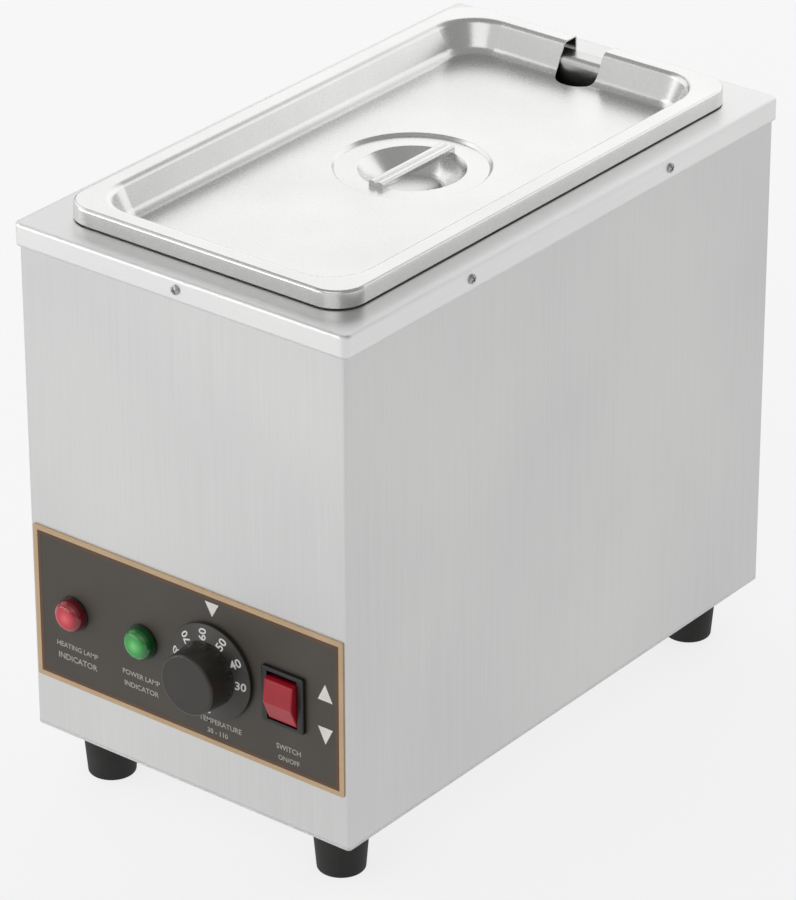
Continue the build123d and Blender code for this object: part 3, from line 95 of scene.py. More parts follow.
def linear(hex_colour: str) -> tuple[float, float, float, float]:
    """Turns an sRGB hex colour to linear RGBA.

    Args:
        hex_colour: six hex digits, with or without a leading hash.

    Returns:
        Linear red, green, blue and an alpha of 1.
    """
    digits = hex_colour.lstrip("#")
    channels = []
    for start in (0, 2, 4):
        value = int(digits[start:start + 2], 16) / 255.0
        channels.append(value / 12.92 if value <= 0.04045 else ((value + 0.055) / 1.055) ** 2.4)
    return (channels[0], channels[1], channels[2], 1.0)


def add(tree: bpy.types.NodeTree, kind: str, settings: dict | None = None,
        links: dict | None = None) -> bpy.types.Node:
    """Adds a node with its settings and links.

    Args:
        tree: the node tree that gets the node.
        kind: the node's type, without the leading ShaderNode.
        settings: properties by name, or input values by socket name or number.
        links: output sockets by the name or number of the input that they feed.

    Returns:
        The new node.
    """
    node = tree.nodes.new("ShaderNode" + kind)
    for key, value in (settings or {}).items():
        if isinstance(key, str) and hasattr(node, key):
            setattr(node, key, value)
        else:
            node.inputs[key].default_value = value
    for key, source in (links or {}).items():
        tree.links.new(source, node.inputs[key])
    return node


def emptied(data: bpy.types.Material | bpy.types.World) -> bpy.types.NodeTree:
    """Turns on the nodes of a material or a world and takes the default ones out.

    Args:
        data: the material or world.

    Returns:
        Its empty node tree.
    """
    data.use_nodes = True
    data.node_tree.nodes.clear()
    return data.node_tree


def linked(name: str, data: bpy.types.ID) -> bpy.types.Object:
    """Makes an object and links it to the scene.

    Args:
        name: the object's name.
        data: its mesh, curve, lamp or camera.

    Returns:
        The object.
    """
    made = bpy.data.objects.new(name, data)
    bpy.context.scene.collection.objects.link(made)
    return made


class Grain(Enum):
    """Direction in which a surface was brushed or drawn.

    Each value is the grain's size along X, Y and Z, in units of its width.
    """

    NONE = (1.0, 1.0, 1.0)
    UPRIGHT = (1.0, 1.0, 90.0)
    LENGTHWISE = (1.0, 90.0, 1.0)


@dataclass(frozen=True)
class Finish:
    """One real finish, made into a node material on first use.

    Attributes:
        name: the material's common name and how its surface was made.
        colour: main sRGB colour.
        tint: second sRGB colour, which the first drifts to over the mottle size.
        worn: sRGB colour along edges.
        metallic: 1 for bare metal, 0 for the rest.
        roughness: middle roughness.
        swing: how far the grain moves the roughness either way.
        grain_mm: width of the grain or of the surface's texture.
        grain: direction of the grain.
        grain_shade: how much darker the grain's low side is, from 0 to 1.
        mottle_mm: size of the slow colour drift.
        relief_mm: depth of the grain's bump.
        edge_mm: radius of the softened edge that catches the light.
        wear: how strongly the worn colour shows, from 0 to 1.
        coat: clear gloss layer, from 0 to 1.
    """

    name: str
    colour: str
    tint: str
    worn: str
    metallic: float = 0.0
    roughness: float = 0.4
    swing: float = 0.08
    grain_mm: float = 1.0
    grain: Grain = Grain.NONE
    grain_shade: float = 0.1
    mottle_mm: float = 40.0
    relief_mm: float = 0.02
    edge_mm: float = 0.4
    wear: float = 0.5
    coat: float = 0.0

    def material(self) -> bpy.types.Material:
        """The material, built once and kept under its name."""
        known = bpy.data.materials.get(self.name)
        if known is not None:
            return known
        material = bpy.data.materials.new(self.name)
        tree = emptied(material)
        grain = self.grain_signal(tree)
        edge = add(tree, "Bevel", {"samples": EDGE_SAMPLES, "Radius": mm(self.edge_mm)})
        colour = self.base_colour(tree, grain, edge.outputs[0])
        span = {"To Min": self.roughness - self.swing, "To Max": self.roughness + self.swing}
        rough = add(tree, "MapRange", span, {"Value": grain})
        bump = add(tree, "Bump", {"Strength": GRAIN_BUMP, "Distance": mm(self.relief_mm)},
                   {"Height": grain, "Normal": edge.outputs[0]})
        shader = add(tree, "BsdfPrincipled", {"Metallic": self.metallic},
                     {"Base Color": colour, "Roughness": rough.outputs[0], "Normal": bump.outputs[0]})
        if self.coat:
            shader.inputs["Coat Weight"].default_value = self.coat
            shader.inputs["Coat Roughness"].default_value = COAT_ROUGHNESS
        add(tree, "OutputMaterial", links={"Surface": shader.outputs[0]})
        return material

    def grain_signal(self, tree: bpy.types.NodeTree) -> bpy.types.NodeSocket:
        """Fine pattern of the surface, from 0 to 1.

        Args:
            tree: the material's node tree.

        Returns:
            The socket that carries it.
        """
        spot = add(tree, "TexCoord").outputs["Object"]
        scale = tuple(1.0 / (mm(self.grain_mm) * along) for along in self.grain.value)
        stretched = add(tree, "Mapping", {"Scale": scale}, {"Vector": spot})
        noise = add(tree, "TexNoise", {"Scale": 1.0, "Detail": 3.0, "Roughness": 0.6},
                    {"Vector": stretched.outputs[0]})
        return noise.outputs[0]

    def base_colour(self, tree: bpy.types.NodeTree, grain: bpy.types.NodeSocket,
                    rounded: bpy.types.NodeSocket) -> bpy.types.NodeSocket:
        """Colour with its slow drift, the grain's shade and wear along the edges.

        Args:
            tree: the material's node tree.
            grain: the fine pattern.
            rounded: normal of the softened edges.

        Returns:
            The colour's socket.
        """
        spot = add(tree, "TexCoord").outputs["Object"]
        noise_span = {"From Min": NOISE_LOW, "From Max": NOISE_HIGH}
        drift = add(tree, "TexNoise", {"Scale": 1.0 / mm(self.mottle_mm), "Detail": 2.0}, {"Vector": spot})
        spread = add(tree, "MapRange", noise_span, {"Value": drift.outputs[0]})
        two = add(tree, "Mix", {"data_type": "RGBA", 6: linear(self.colour), 7: linear(self.tint)},
                  {0: spread.outputs[0]})
        shade = add(tree, "MapRange", noise_span | {"To Min": 1.0 - self.grain_shade}, {"Value": grain})
        dark = add(tree, "Mix", {"data_type": "RGBA", "blend_type": "MULTIPLY", 0: 1.0},
                   {6: two.outputs[2], 7: shade.outputs[0]})
        true_normal = add(tree, "NewGeometry").outputs["Normal"]
        level = add(tree, "VectorMath", {"operation": "DOT_PRODUCT"}, {0: rounded, 1: true_normal})
        rub = add(tree, "MapRange", {"From Min": WEAR_START, "From Max": WEAR_FULL, "To Max": self.wear},
                  {"Value": level.outputs["Value"]})
        broken = add(tree, "Math", {"operation": "MULTIPLY"}, {0: rub.outputs[0], 1: spread.outputs[0]})
        worn = add(tree, "Mix", {"data_type": "RGBA", 7: linear(self.worn)},
                   {0: broken.outputs[0], 6: dark.outputs[2]})
        return worn.outputs[2]


# Brushed stainless sheet: long fine lines, real pitch about 0.2 mm, drawn at 0.9 mm so that they show
# The casing's colour is the steel's own, darkened below the cover's same sheet: painted shade on the casing's
# sides.
CASING_STEEL_WITH_PAINTED_SHADE = Finish("brushed stainless sheet, upright grain", "#dadad9", "#d2d2d2", "#ececec",
                      metallic=1.0, roughness=0.42, swing=0.06, grain_mm=0.9, grain=Grain.UPRIGHT,
                      grain_shade=0.06, mottle_mm=160.0, relief_mm=0.004, edge_mm=1.8, wear=0.5)
COVER_STEEL = Finish("brushed stainless sheet, lengthwise grain", "#ebebea", "#e4e4e4", "#f8f8f8",
                     metallic=1.0, roughness=0.38, swing=0.06, grain_mm=0.9, grain=Grain.LENGTHWISE,
                     grain_shade=0.05, mottle_mm=140.0, relief_mm=0.004, edge_mm=1.8, wear=0.5)
# Deep-drawn stainless, satin from the press: no grain, a fine even orange peel and brighter bends
LID_STEEL = Finish("satin drawn stainless", "#e6e6e5", "#dededd", "#f6f6f6", metallic=1.0, roughness=0.26,
                   swing=0.05, grain_mm=1.4, grain_shade=0.04, mottle_mm=60.0, relief_mm=0.006, edge_mm=0.5,
                   wear=0.5)
PAN_STEEL = Finish("satin drawn stainless, pan", "#dcdcdb", "#d2d2d1", "#f0f0f0", metallic=1.0,
                   roughness=0.3, swing=0.06, grain_mm=1.6, grain_shade=0.05, mottle_mm=50.0,
                   relief_mm=0.006, edge_mm=0.4)
# Zinc plated small parts: a faint blue-grey bloom and bright rubbed edges
PLATED_STEEL = Finish("zinc plated steel", "#b9bcc0", "#a9a9a4", "#dadcde", metallic=1.0, roughness=0.34,
                      swing=0.1, grain_mm=0.5, grain_shade=0.12, mottle_mm=6.0, relief_mm=0.01,
                      edge_mm=0.25, wear=0.9)
# Moulded rubber: matte, with a dusty bloom and a coarse mould texture
FOOT_RUBBER = Finish("moulded rubber", "#1d1d1d", "#262523", "#3a3937", roughness=0.72, swing=0.1,
                     grain_mm=0.8, grain_shade=0.25, mottle_mm=12.0, relief_mm=0.05, edge_mm=0.6, wear=0.6)
SEAL_SILICONE = Finish("moulded silicone", "#cfcabf", "#c4beb2", "#dcd8ce", roughness=0.5, grain_mm=0.7,
                       grain_shade=0.08, mottle_mm=20.0, relief_mm=0.02)
SPREADER_ALUMINIUM = Finish("rolled aluminium", "#c9cacc", "#bcbdbe", "#e4e5e6", metallic=1.0,
                            roughness=0.4, swing=0.08, grain_mm=0.6, grain=Grain.LENGTHWISE,
                            grain_shade=0.08, mottle_mm=30.0, relief_mm=0.006)
# Element sheath: stainless tube that heat has turned straw and blue in bands
ELEMENT_SHEATH = Finish("heat tinted stainless tube", "#9d8a72", "#6f6c7e", "#b6a992", metallic=1.0,
                        roughness=0.36, swing=0.1, grain_mm=0.8, grain_shade=0.15, mottle_mm=18.0,
                        relief_mm=0.01)
DRAWN_COPPER = Finish("drawn copper", "#c27f5c", "#a5664a", "#dba58a", metallic=1.0, roughness=0.32,
                      swing=0.08, grain_mm=0.5, grain_shade=0.12, mottle_mm=8.0, relief_mm=0.008)
# Printed sheet panel: flat charcoal ink with a slight orange peel and a little show-through
PANEL_INK = Finish("screen printed panel, charcoal", "#48433b", "#413c35", "#68625a", roughness=0.46,
                   swing=0.06, grain_mm=0.7, grain_shade=0.12, mottle_mm=35.0, relief_mm=0.008, edge_mm=0.2,
                   wear=0.4)
TAN_INK = Finish("screen print ink, tan", "#d2b48e", "#c8a982", "#dcc4a2", roughness=0.42, grain_mm=0.6,
                 grain_shade=0.1, mottle_mm=25.0, relief_mm=0.006, edge_mm=0.05)
BROWN_INK = Finish("screen print ink, dark brown", "#5f4129", "#553a25", "#6e5036", roughness=0.45,
                   grain_mm=0.6, grain_shade=0.1, mottle_mm=25.0, relief_mm=0.006, edge_mm=0.05)
WHITE_INK = Finish("screen print ink, white", "#f1efeb", "#e6e3de", "#ffffff", roughness=0.48, grain_mm=0.5,
                   grain_shade=0.06, mottle_mm=10.0, relief_mm=0.006, edge_mm=0.05)
GREY_INK = Finish("screen print ink, light grey", "#bcb7b0", "#aeaaa2", "#c8c4bd", roughness=0.5,
                  grain_mm=0.5, grain_shade=0.08, mottle_mm=10.0, relief_mm=0.006, edge_mm=0.05)
# Moulded phenolic, nylon and polycarbonate: fine spark texture, satin, edges polished by fingers
KNOB_PLASTIC = Finish("moulded phenolic, satin black", "#33302c", "#2a2824", "#504d48", roughness=0.34,
                      swing=0.08, grain_mm=0.5, grain_shade=0.15, mottle_mm=14.0, relief_mm=0.015,
                      edge_mm=0.4, wear=0.7)
BLACK_PLASTIC = Finish("moulded nylon, black", "#1a1a1a", "#131313", "#3a3a3a", roughness=0.38, swing=0.08,
                       grain_mm=0.5, grain_shade=0.15, mottle_mm=14.0, relief_mm=0.015, edge_mm=0.3,
                       wear=0.6)
BROWN_PHENOLIC = Finish("moulded phenolic, brown", "#4a3626", "#3b2b1f", "#6a5240", roughness=0.36,
                        swing=0.08, grain_mm=0.6, grain_shade=0.2, mottle_mm=8.0, relief_mm=0.02,
                        edge_mm=0.3)
ROCKER_PLASTIC = Finish("moulded polycarbonate, red", "#b41329", "#a00e22", "#c43246", roughness=0.36,
                        swing=0.05, grain_mm=0.9, grain_shade=0.05, mottle_mm=9.0, relief_mm=0.006,
                        edge_mm=0.5, wear=0.4)
GLAZED_CERAMIC = Finish("glazed ceramic", "#ece6d8", "#e0d9c8", "#f6f2e8", roughness=0.2, grain_mm=1.2,
                        grain_shade=0.05, mottle_mm=9.0, relief_mm=0.02, edge_mm=0.5, coat=0.4)
STUDIO_FLOOR = Finish("matte studio paper", "#f8f8f8", "#f6f6f6", "#f8f8f8", roughness=0.9, swing=0.02,
                      grain_mm=3.0, grain_shade=0.01, mottle_mm=400.0, relief_mm=0.0, edge_mm=0.1, wear=0.0)


@dataclass(frozen=True)
class LensFinish:
    """Clear dyed acrylic lens, moulded, with a painted highlight at its middle and painted shade at its rim.

    Attributes:
        name: the material's name.
        middle: sRGB colour of the painted highlight at the middle of the dome.
        body: sRGB colour over most of the dome.
        rim: sRGB colour of the painted shade at its edge.
        centre: X and Z of the lens's axis.
        radius_mm: radius of the lens.
        body_share: where the body colour stands, as a share of the radius.
        ring_mm: pitch of the moulded prism rings.
        ring_relief_mm: depth of the rings' bump.
        ring_bump: strength of that bump.
        haze_mm: size of the spots in which the gloss changes.
        gloss: lowest and highest roughness.
        refraction: the plastic's index of refraction.
        coat: clear gloss layer, from 0 to 1.
        coat_roughness: roughness of that layer.
    """

    name: str
    middle: str
    body: str
    rim: str
    centre: tuple[float, float]
    radius_mm: float = 9.0
    body_share: float = 0.42
    ring_mm: float = 1.5
    ring_relief_mm: float = 0.12
    ring_bump: float = 0.35
    haze_mm: float = 2.0
    gloss: tuple[float, float] = (0.1, 0.24)
    refraction: float = 1.49
    coat: float = 0.4
    coat_roughness: float = 0.04

    def material(self) -> bpy.types.Material:
        """The lens material, with its painted highlight and rim shade and its rings about the lens's own
        axis.
        """
        material = bpy.data.materials.new(self.name)
        tree = emptied(material)
        spot = add(tree, "TexCoord").outputs["Object"]
        x, z = self.centre
        centred = add(tree, "Mapping", {"Location": (-x, 0.0, -z)}, {"Vector": spot})
        flat = add(tree, "VectorMath", {"operation": "MULTIPLY", 1: (1.0, 0.0, 1.0)},
                   {0: centred.outputs[0]})
        reach = add(tree, "VectorMath", {"operation": "LENGTH"}, {0: flat.outputs[0]})
        share = add(tree, "MapRange", {"From Max": mm(self.radius_mm)}, {"Value": reach.outputs["Value"]})
        # Painted highlight at the middle, fading through the dye's colour to painted shade at the rim.
        ramp = add(tree, "ValToRGB", links={"Fac": share.outputs[0]})
        stops = ramp.color_ramp.elements
        stops[0].color = linear(self.middle)
        stops[1].color = linear(self.rim)
        stops.new(self.body_share).color = linear(self.body)
        turns = add(tree, "Math", {"operation": "MULTIPLY", 1: 2.0 * math.pi / mm(self.ring_mm)},
                    {0: reach.outputs["Value"]})
        rings = add(tree, "Math", {"operation": "SINE"}, {0: turns.outputs[0]})
        haze = add(tree, "TexNoise", {"Scale": 1.0 / mm(self.haze_mm), "Detail": 2.0}, {"Vector": spot})
        rough = add(tree, "MapRange", {"To Min": self.gloss[0], "To Max": self.gloss[1]},
                    {"Value": haze.outputs[0]})
        bump = add(tree, "Bump", {"Strength": self.ring_bump, "Distance": mm(self.ring_relief_mm)},
                   {"Height": rings.outputs[0]})
        clear = {"IOR": self.refraction, "Coat Weight": self.coat, "Coat Roughness": self.coat_roughness}
        surface = {"Base Color": ramp.outputs[0], "Roughness": rough.outputs[0], "Normal": bump.outputs[0]}
        shader = add(tree, "BsdfPrincipled", clear, surface)
        add(tree, "OutputMaterial", links={"Surface": shader.outputs[0]})
        return material


def dress(material: bpy.types.Material, *names: str) -> None:
    """Gives CAD nodes a finish through their own material slots.

    Args:
        material: the finish's material.
        names: the nodes.
    """
    for name in names:
        node = bpy.data.objects[name]
        if not node.material_slots:
            node.data.materials.append(material)
        for place in node.material_slots:
            place.material = material
        LOG.info("dressed %s in %s", name, material.name)


def facing_front(x: float, z: float, y: float, turn: float = 0.0) -> Matrix:
    """Place on a surface that faces the front: local X is right, local Y is up and local Z is outwards.

    Args:
        x: X of the place.
        z: Z of the place.
        y: Y of the surface.
        turn: turn in the surface, in radians, anticlockwise as seen from the front.

    Returns:
        The placing matrix.
    """
    stand = Matrix(((1, 0, 0, x), (0, 0, -1, y), (0, 1, 0, z), (0, 0, 0, 1)))
    return stand @ Matrix.Rotation(turn, 4, "Z")


def lettering(shape: bmesh.types.BMesh, words: str, height_mm: float, place: Matrix,
              bold_mm: float) -> None:
    """Adds raised letters to a shape, centred on their place.

    Args:
        shape: the bmesh that gets the letters.
        words: the text.
        height_mm: height of its capitals.
        place: matrix from the text's own plane to the row frame.
        bold_mm: how far each stroke is thickened on either side.
    """
    curve = bpy.data.curves.new("letters", "FONT")
    curve.body = words
    curve.size = mm(height_mm) / CAPITAL_SHARE
    curve.align_x = "CENTER"
    curve.align_y = "CENTER"
    curve.resolution_u = LETTER_STEPS
    curve.extrude = mm(INK_MM) / 2
    curve.offset = mm(bold_mm)
    carrier = linked("letters", curve)
    bpy.context.view_layer.update()
    mesh = bpy.data.meshes.new_from_object(carrier.evaluated_get(bpy.context.evaluated_depsgraph_get()))
    mesh.transform(place @ Matrix.Translation((0, 0, mm(INK_MM) / 2)))
    shape.from_mesh(mesh)
    bpy.data.objects.remove(carrier)
    bpy.data.curves.remove(curve)
    bpy.data.meshes.remove(mesh)


def finished(name: str, shape: bmesh.types.BMesh, material: bpy.types.Material, body: str,
             smooth: bool = False) -> bpy.types.Object:
    """Turns a bmesh into a piece with its finish, riding on a body.

    Args:
        name: the piece's name.
        shape: its mesh, already in place; it is freed.
        material: its finish.
        body: the CAD body that carries it.
        smooth: whether its faces are shaded smooth, with its sharp edges kept.

    Returns:
        The piece.
    """
    bmesh.ops.remove_doubles(shape, verts=shape.verts, dist=mm(WELD_MM))
    bmesh.ops.recalc_face_normals(shape, faces=shape.faces)
    mesh = bpy.data.meshes.new(name)
    shape.to_mesh(mesh)
    shape.free()
    if smooth:
        mesh.shade_smooth()
        mesh.set_sharp_from_angle(angle=math.radians(SHARP_DEG))
    mesh.materials.append(material)
    piece = linked(name, mesh)
    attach(piece, body)
    LOG.info("made %s: %d faces, rides on %s", name, len(mesh.polygons), body)
    return piece


@dataclass
class CrossScrew:
    """Pan head screw with a cross recess, on a cover's flange or a plate.

    Attributes:
        radius_mm: radius of the head.
        height_mm: height of the head.
        recess_mm: depth of the cross.
        cells: cells along each side of the grid that the head is made from; the cross is one cell wide.
        arm_cells: how far the cross reaches from the middle, in cells.
        rounding: how soon the grid's squares turn to circles on the way out.
        dome: how much of its height the head loses at its edge, as a share.
        recess_taper: size of the cross at its bottom, as a share of its size at the top.
    """

    radius_mm: float = 2.6
    height_mm: float = 1.5
    recess_mm: float = 0.8
    cells: int = 7
    arm_cells: float = 2.2
    rounding: float = 1.6
    dome: float = 0.5
    recess_taper: float = 0.86

    def head(self, place: Matrix) -> bmesh.types.BMesh:
        """Head with its seat at the place and its top along the place's Z.

        Args:
            place: matrix from the screw's own axes to the row frame.

        Returns:
            The head's bmesh.
        """
        shape = bmesh.new()
        reach = mm(self.radius_mm)
        bmesh.ops.create_grid(shape, x_segments=self.cells, y_segments=self.cells, size=reach)
        for vertex in shape.verts:
            flat = vertex.co.xy
            square = max(abs(flat.x), abs(flat.y))
            if square > 0:
                round_share = min(1.0, (square / reach) ** 2 * self.rounding)
                flat = flat.lerp(flat.normalized() * square, round_share)
            rise = mm(self.height_mm) * (1.0 - self.dome * (flat.length / reach) ** 2)
            vertex.co = Vector((flat.x, flat.y, rise))
        cross = [face for face in shape.faces if self.in_cross(face.calc_center_median())]
        sunk = bmesh.ops.extrude_face_region(shape, geom=cross)
        low = [item for item in sunk["geom"] if isinstance(item, bmesh.types.BMVert)]
        bmesh.ops.delete(shape, geom=cross, context="FACES_ONLY")
        bmesh.ops.translate(shape, verts=low, vec=(0, 0, -mm(self.recess_mm)))
        bmesh.ops.scale(shape, verts=low, vec=(self.recess_taper, self.recess_taper, 1.0))
        rim = [edge for edge in shape.edges if edge.is_boundary]
        skirt = bmesh.ops.extrude_edge_only(shape, edges=rim)
        for item in skirt["geom"]:
            if isinstance(item, bmesh.types.BMVert):
                item.co.z = 0.0
        bmesh.ops.transform(shape, matrix=place, verts=shape.verts)
        return shape

    def in_cross(self, middle: Vector) -> bool:
        """Whether a face's middle lies in the cross recess."""
        cell = mm(self.radius_mm) * 2 / self.cells
        across, along = sorted((abs(middle.x), abs(middle.y)))
        return across < cell / 2 and along < cell * self.arm_cells


@dataclass
class Casing:
    """Folded casing with its lapped cover, base plate and screws.

    Attributes:
        screw_z_mm: height of the cover screws.
        side_screw_y_mm: distance of the side screws from the casing's middle.
        middle_y_mm: Y of the casing's middle in the row frame.
        first_turn_deg: angle at which the first screw's cross was left.
        turn_step_deg: how much further each next one was turned.
        screw: the screw's head.
    """

    screw_z_mm: float = 316.0
    side_screw_y_mm: float = 84.0
    middle_y_mm: float = 1.05
    first_turn_deg: float = 23.0
    turn_step_deg: float = 47.0
    screw: CrossScrew = field(default_factory=CrossScrew)

    def build(self) -> None:
        """Dresses the sheets and makes the cover screws' heads."""
        dress(CASING_STEEL_WITH_PAINTED_SHADE.material(), "body_shell", "base_plate")
        dress(COVER_STEEL.material(), "top_cover")
        dress(PLATED_STEEL.material(), "base_screws", "cover_screws")
        self.cover_screws()

    def cover_screws(self) -> None:
        """Six cross-recessed heads on the cover's flange, each turned as a hand leaves it."""
        low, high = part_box("top_cover")
        middle = mm(self.middle_y_mm)
        places = [((0.0, low[1]), -90.0), ((0.0, high[1]), 90.0)]
        for side in (-1, 1):
            y = middle + side * mm(self.side_screw_y_mm)
            places += [((high[0], y), 0.0), ((low[0], y), 180.0)]
        sideways = Matrix.Rotation(math.radians(90), 4, "Y")
        whole = bmesh.new()
        for number, ((x, y), heading) in enumerate(places):
            outward = Matrix.Rotation(math.radians(heading), 4, "Z") @ sideways
            turn_deg = self.first_turn_deg + self.turn_step_deg * number
            turned = Matrix.Rotation(math.radians(turn_deg), 4, "Z")
            head = self.screw.head(Matrix.Translation((x, y, mm(self.screw_z_mm))) @ outward @ turned)
            loose = bpy.data.meshes.new("screw_head")
            head.to_mesh(loose)
            head.free()
            whole.from_mesh(loose)
            bpy.data.meshes.remove(loose)
        piece = finished("cover_screw_heads", whole, PLATED_STEEL.material(), "base", smooth=True)
        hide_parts("cover_screws")


@dataclass
class Feet:
    """Four tapered rubber feet with their bolts.

    Attributes:
        feet: the feet's nodes.
    """

    feet: tuple[str, ...] = ("foot_front_left", "foot_front_right", "foot_back_left", "foot_back_right")

    def build(self) -> None:
        """Dresses the feet and what holds them."""
        dress(FOOT_RUBBER.material(), *self.feet)
        dress(PLATED_STEEL.material(), "foot_washers", "foot_bolts", "foot_nuts")


@dataclass
class PanAndLid:
    """Hung pan in its water tank, and the deep-drawn lid with its strap."""

    def build(self) -> None:
        """Dresses the drawn sheets."""
        dress(LID_STEEL.material(), "lid", "lid_handle")
        dress(PAN_STEEL.material(), "food_pan", "water_tank")
        dress(SEAL_SILICONE.material(), "tank_gasket")
        dress(PLATED_STEEL.material(), "tank_studs", "tank_nuts")


@dataclass
class ControlPanel:
    """Printed panel with its edge line, pointer, arrows and short generic labels.

    Attributes:
        edge_line_mm: width of the tan line on the panel's edge.
        inner_line_mm: width of the dark line inside it.
        plate_mm: thickness of the plate, whose edge the tan ink covers too.
        corner_mm: radius of the panel's corners.
        corner_steps: flat pieces in each rounded corner.
        slack_mm: a point this much nearer to the middle than the outermost one is still an outer corner's.
        upright_mm: an edge between two such points goes through the ink's thickness if it is shorter.
        pointer: X, Z, width and height of the pointer above the knob.
        arrows: X, Z and size of the up arrow and of the down arrow beside the switch.
        label_height_mm: height of the labels' capitals.
        label_bold_mm: how far their strokes are thickened on either side.
        words: each label's words, the X and Z of its middle, and its share of that height.
    """

    edge_line_mm: float = 2.8
    inner_line_mm: float = 2.2
    plate_mm: float = 0.8
    corner_mm: float = 1.0
    corner_steps: int = 4
    slack_mm: float = 0.01
    upright_mm: float = 1.0
    pointer: tuple[float, float, float, float] = (17.9, 142.0, 9.0, 8.0)
    arrows: tuple[tuple[float, float, float], ...] = ((91.0, 119.9, 9.5), (91.0, 94.9, -9.5))
    label_height_mm: float = 3.0
    label_bold_mm: float = 0.05
    words: tuple[tuple[str, float, float, float], ...] = (
        ("HEATING LAMP", -74.6, 86.3, 0.95), ("INDICATOR", -74.6, 79.4, 1.15),
        ("POWER LAMP", -31.0, 85.2, 0.95), ("INDICATOR", -31.0, 78.5, 1.0),
        ("TEMPERATURE", 22.0, 76.6, 1.0), ("30 - 110", 20.0, 70.6, 0.95),
        ("SWITCH", 67.0, 78.0, 1.0), ("ON/OFF", 67.0, 71.6, 0.9))

    def build(self) -> None:
        """Dresses the panel and lays its print on it."""
        dress(PANEL_INK.material(), "control_panel")
        self.lines()
        self.marks()
        self.labels()

    def front(self) -> float:
        """Y of the panel's face."""
        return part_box("control_panel")[0][1]

    def frame_line(self, name: str, inset_mm: float, width_mm: float, depth_mm: float,
                   material: bpy.types.Material) -> None:
        """One printed line round the panel.

        Args:
            name: the piece's name.
            inset_mm: distance of the line's outer side from the panel's edge.
            width_mm: width of the line.
            depth_mm: how far back from the panel's face the ink reaches.
            material: its ink.
        """
        low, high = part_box("control_panel")
        shape = bmesh.new()
        bmesh.ops.create_grid(shape, x_segments=1, y_segments=1, size=0.5)
        across = (high[0] - low[0] - 2 * mm(inset_mm), high[2] - low[2] - 2 * mm(inset_mm), 1.0)
        bmesh.ops.scale(shape, verts=shape.verts, vec=across)
        bmesh.ops.inset_region(shape, faces=shape.faces[:], thickness=mm(width_mm), use_even_offset=True,
                               use_boundary=True)
        middle = min(shape.faces, key=lambda face: face.calc_center_median().length)
        bmesh.ops.delete(shape, geom=[middle], context="FACES_ONLY")
        raised = bmesh.ops.extrude_face_region(shape, geom=shape.faces[:])
        top = [item for item in raised["geom"] if isinstance(item, bmesh.types.BMVert)]
        bmesh.ops.translate(shape, verts=top, vec=(0, 0, mm(INK_MM + depth_mm)))
        reach = max(vert.co.xy.length for vert in shape.verts) - mm(self.slack_mm)
        upright = [edge for edge in shape.edges if edge.calc_length() < mm(self.upright_mm)
                   and min(vert.co.xy.length for vert in edge.verts) > reach]
        bmesh.ops.bevel(shape, geom=upright, offset=mm(self.corner_mm), offset_type="OFFSET",
                        segments=self.corner_steps, profile=0.5, affect="EDGES", material=-1)
        place = facing_front((low[0] + high[0]) / 2, (low[2] + high[2]) / 2, low[1] + mm(depth_mm))
        bmesh.ops.transform(shape, matrix=place, verts=shape.verts)
        finished(name, shape, material, "base")

    def lines(self) -> None:
        """Tan line that wraps the panel's edge and a dark brown line inside it."""
        tan, brown = TAN_INK.material(), BROWN_INK.material()
        self.frame_line("panel_edge_line", -INK_MM, self.edge_line_mm + INK_MM, self.plate_mm, tan)
        self.frame_line("panel_inner_line", self.edge_line_mm, self.inner_line_mm, 0.0, brown)

    def triangle(self, shape: bmesh.types.BMesh, x_mm: float, z_mm: float, width_mm: float,
                 height_mm: float) -> None:
        """Adds one printed triangle; a negative height points it down.

        Args:
            shape: the bmesh that gets it.
            x_mm: X of its middle.
            z_mm: Z of its middle.
            width_mm: width of its base.
            height_mm: its height.
        """
        size = mm(width_mm)
        verts = bmesh.ops.create_cone(shape, cap_ends=True, segments=3, radius1=size, radius2=size,
                                      depth=mm(INK_MM))["verts"]
        low_x = min(v.co.x for v in verts)
        low_y, high_y = min(v.co.y for v in verts), max(v.co.y for v in verts)
        scale = (mm(width_mm) / (-2 * low_x), mm(height_mm) / (high_y - low_y), 1.0)
        bmesh.ops.translate(shape, verts=verts, vec=(0, -(low_y + high_y) / 2, mm(INK_MM) / 2))
        bmesh.ops.scale(shape, verts=verts, vec=scale)
        bmesh.ops.transform(shape, matrix=facing_front(mm(x_mm), mm(z_mm), self.front()), verts=verts)

    def marks(self) -> None:
        """White pointer above the knob, and arrows up and down beside the switch."""
        shape = bmesh.new()
        x, z, width, height = self.pointer
        self.triangle(shape, x, z, width, -height)
        for x, z, size in self.arrows:
            self.triangle(shape, x, z, abs(size), size)
        finished("panel_marks", shape, WHITE_INK.material(), "base")

    def labels(self) -> None:
        """Short generic words in grey under each control, on two lines."""
        shape = bmesh.new()
        for words, x, z, share in self.words:
            place = facing_front(mm(x), mm(z), self.front())
            lettering(shape, words, self.label_height_mm * share, place, self.label_bold_mm)
        finished("panel_labels", shape, GREY_INK.material(), "base")


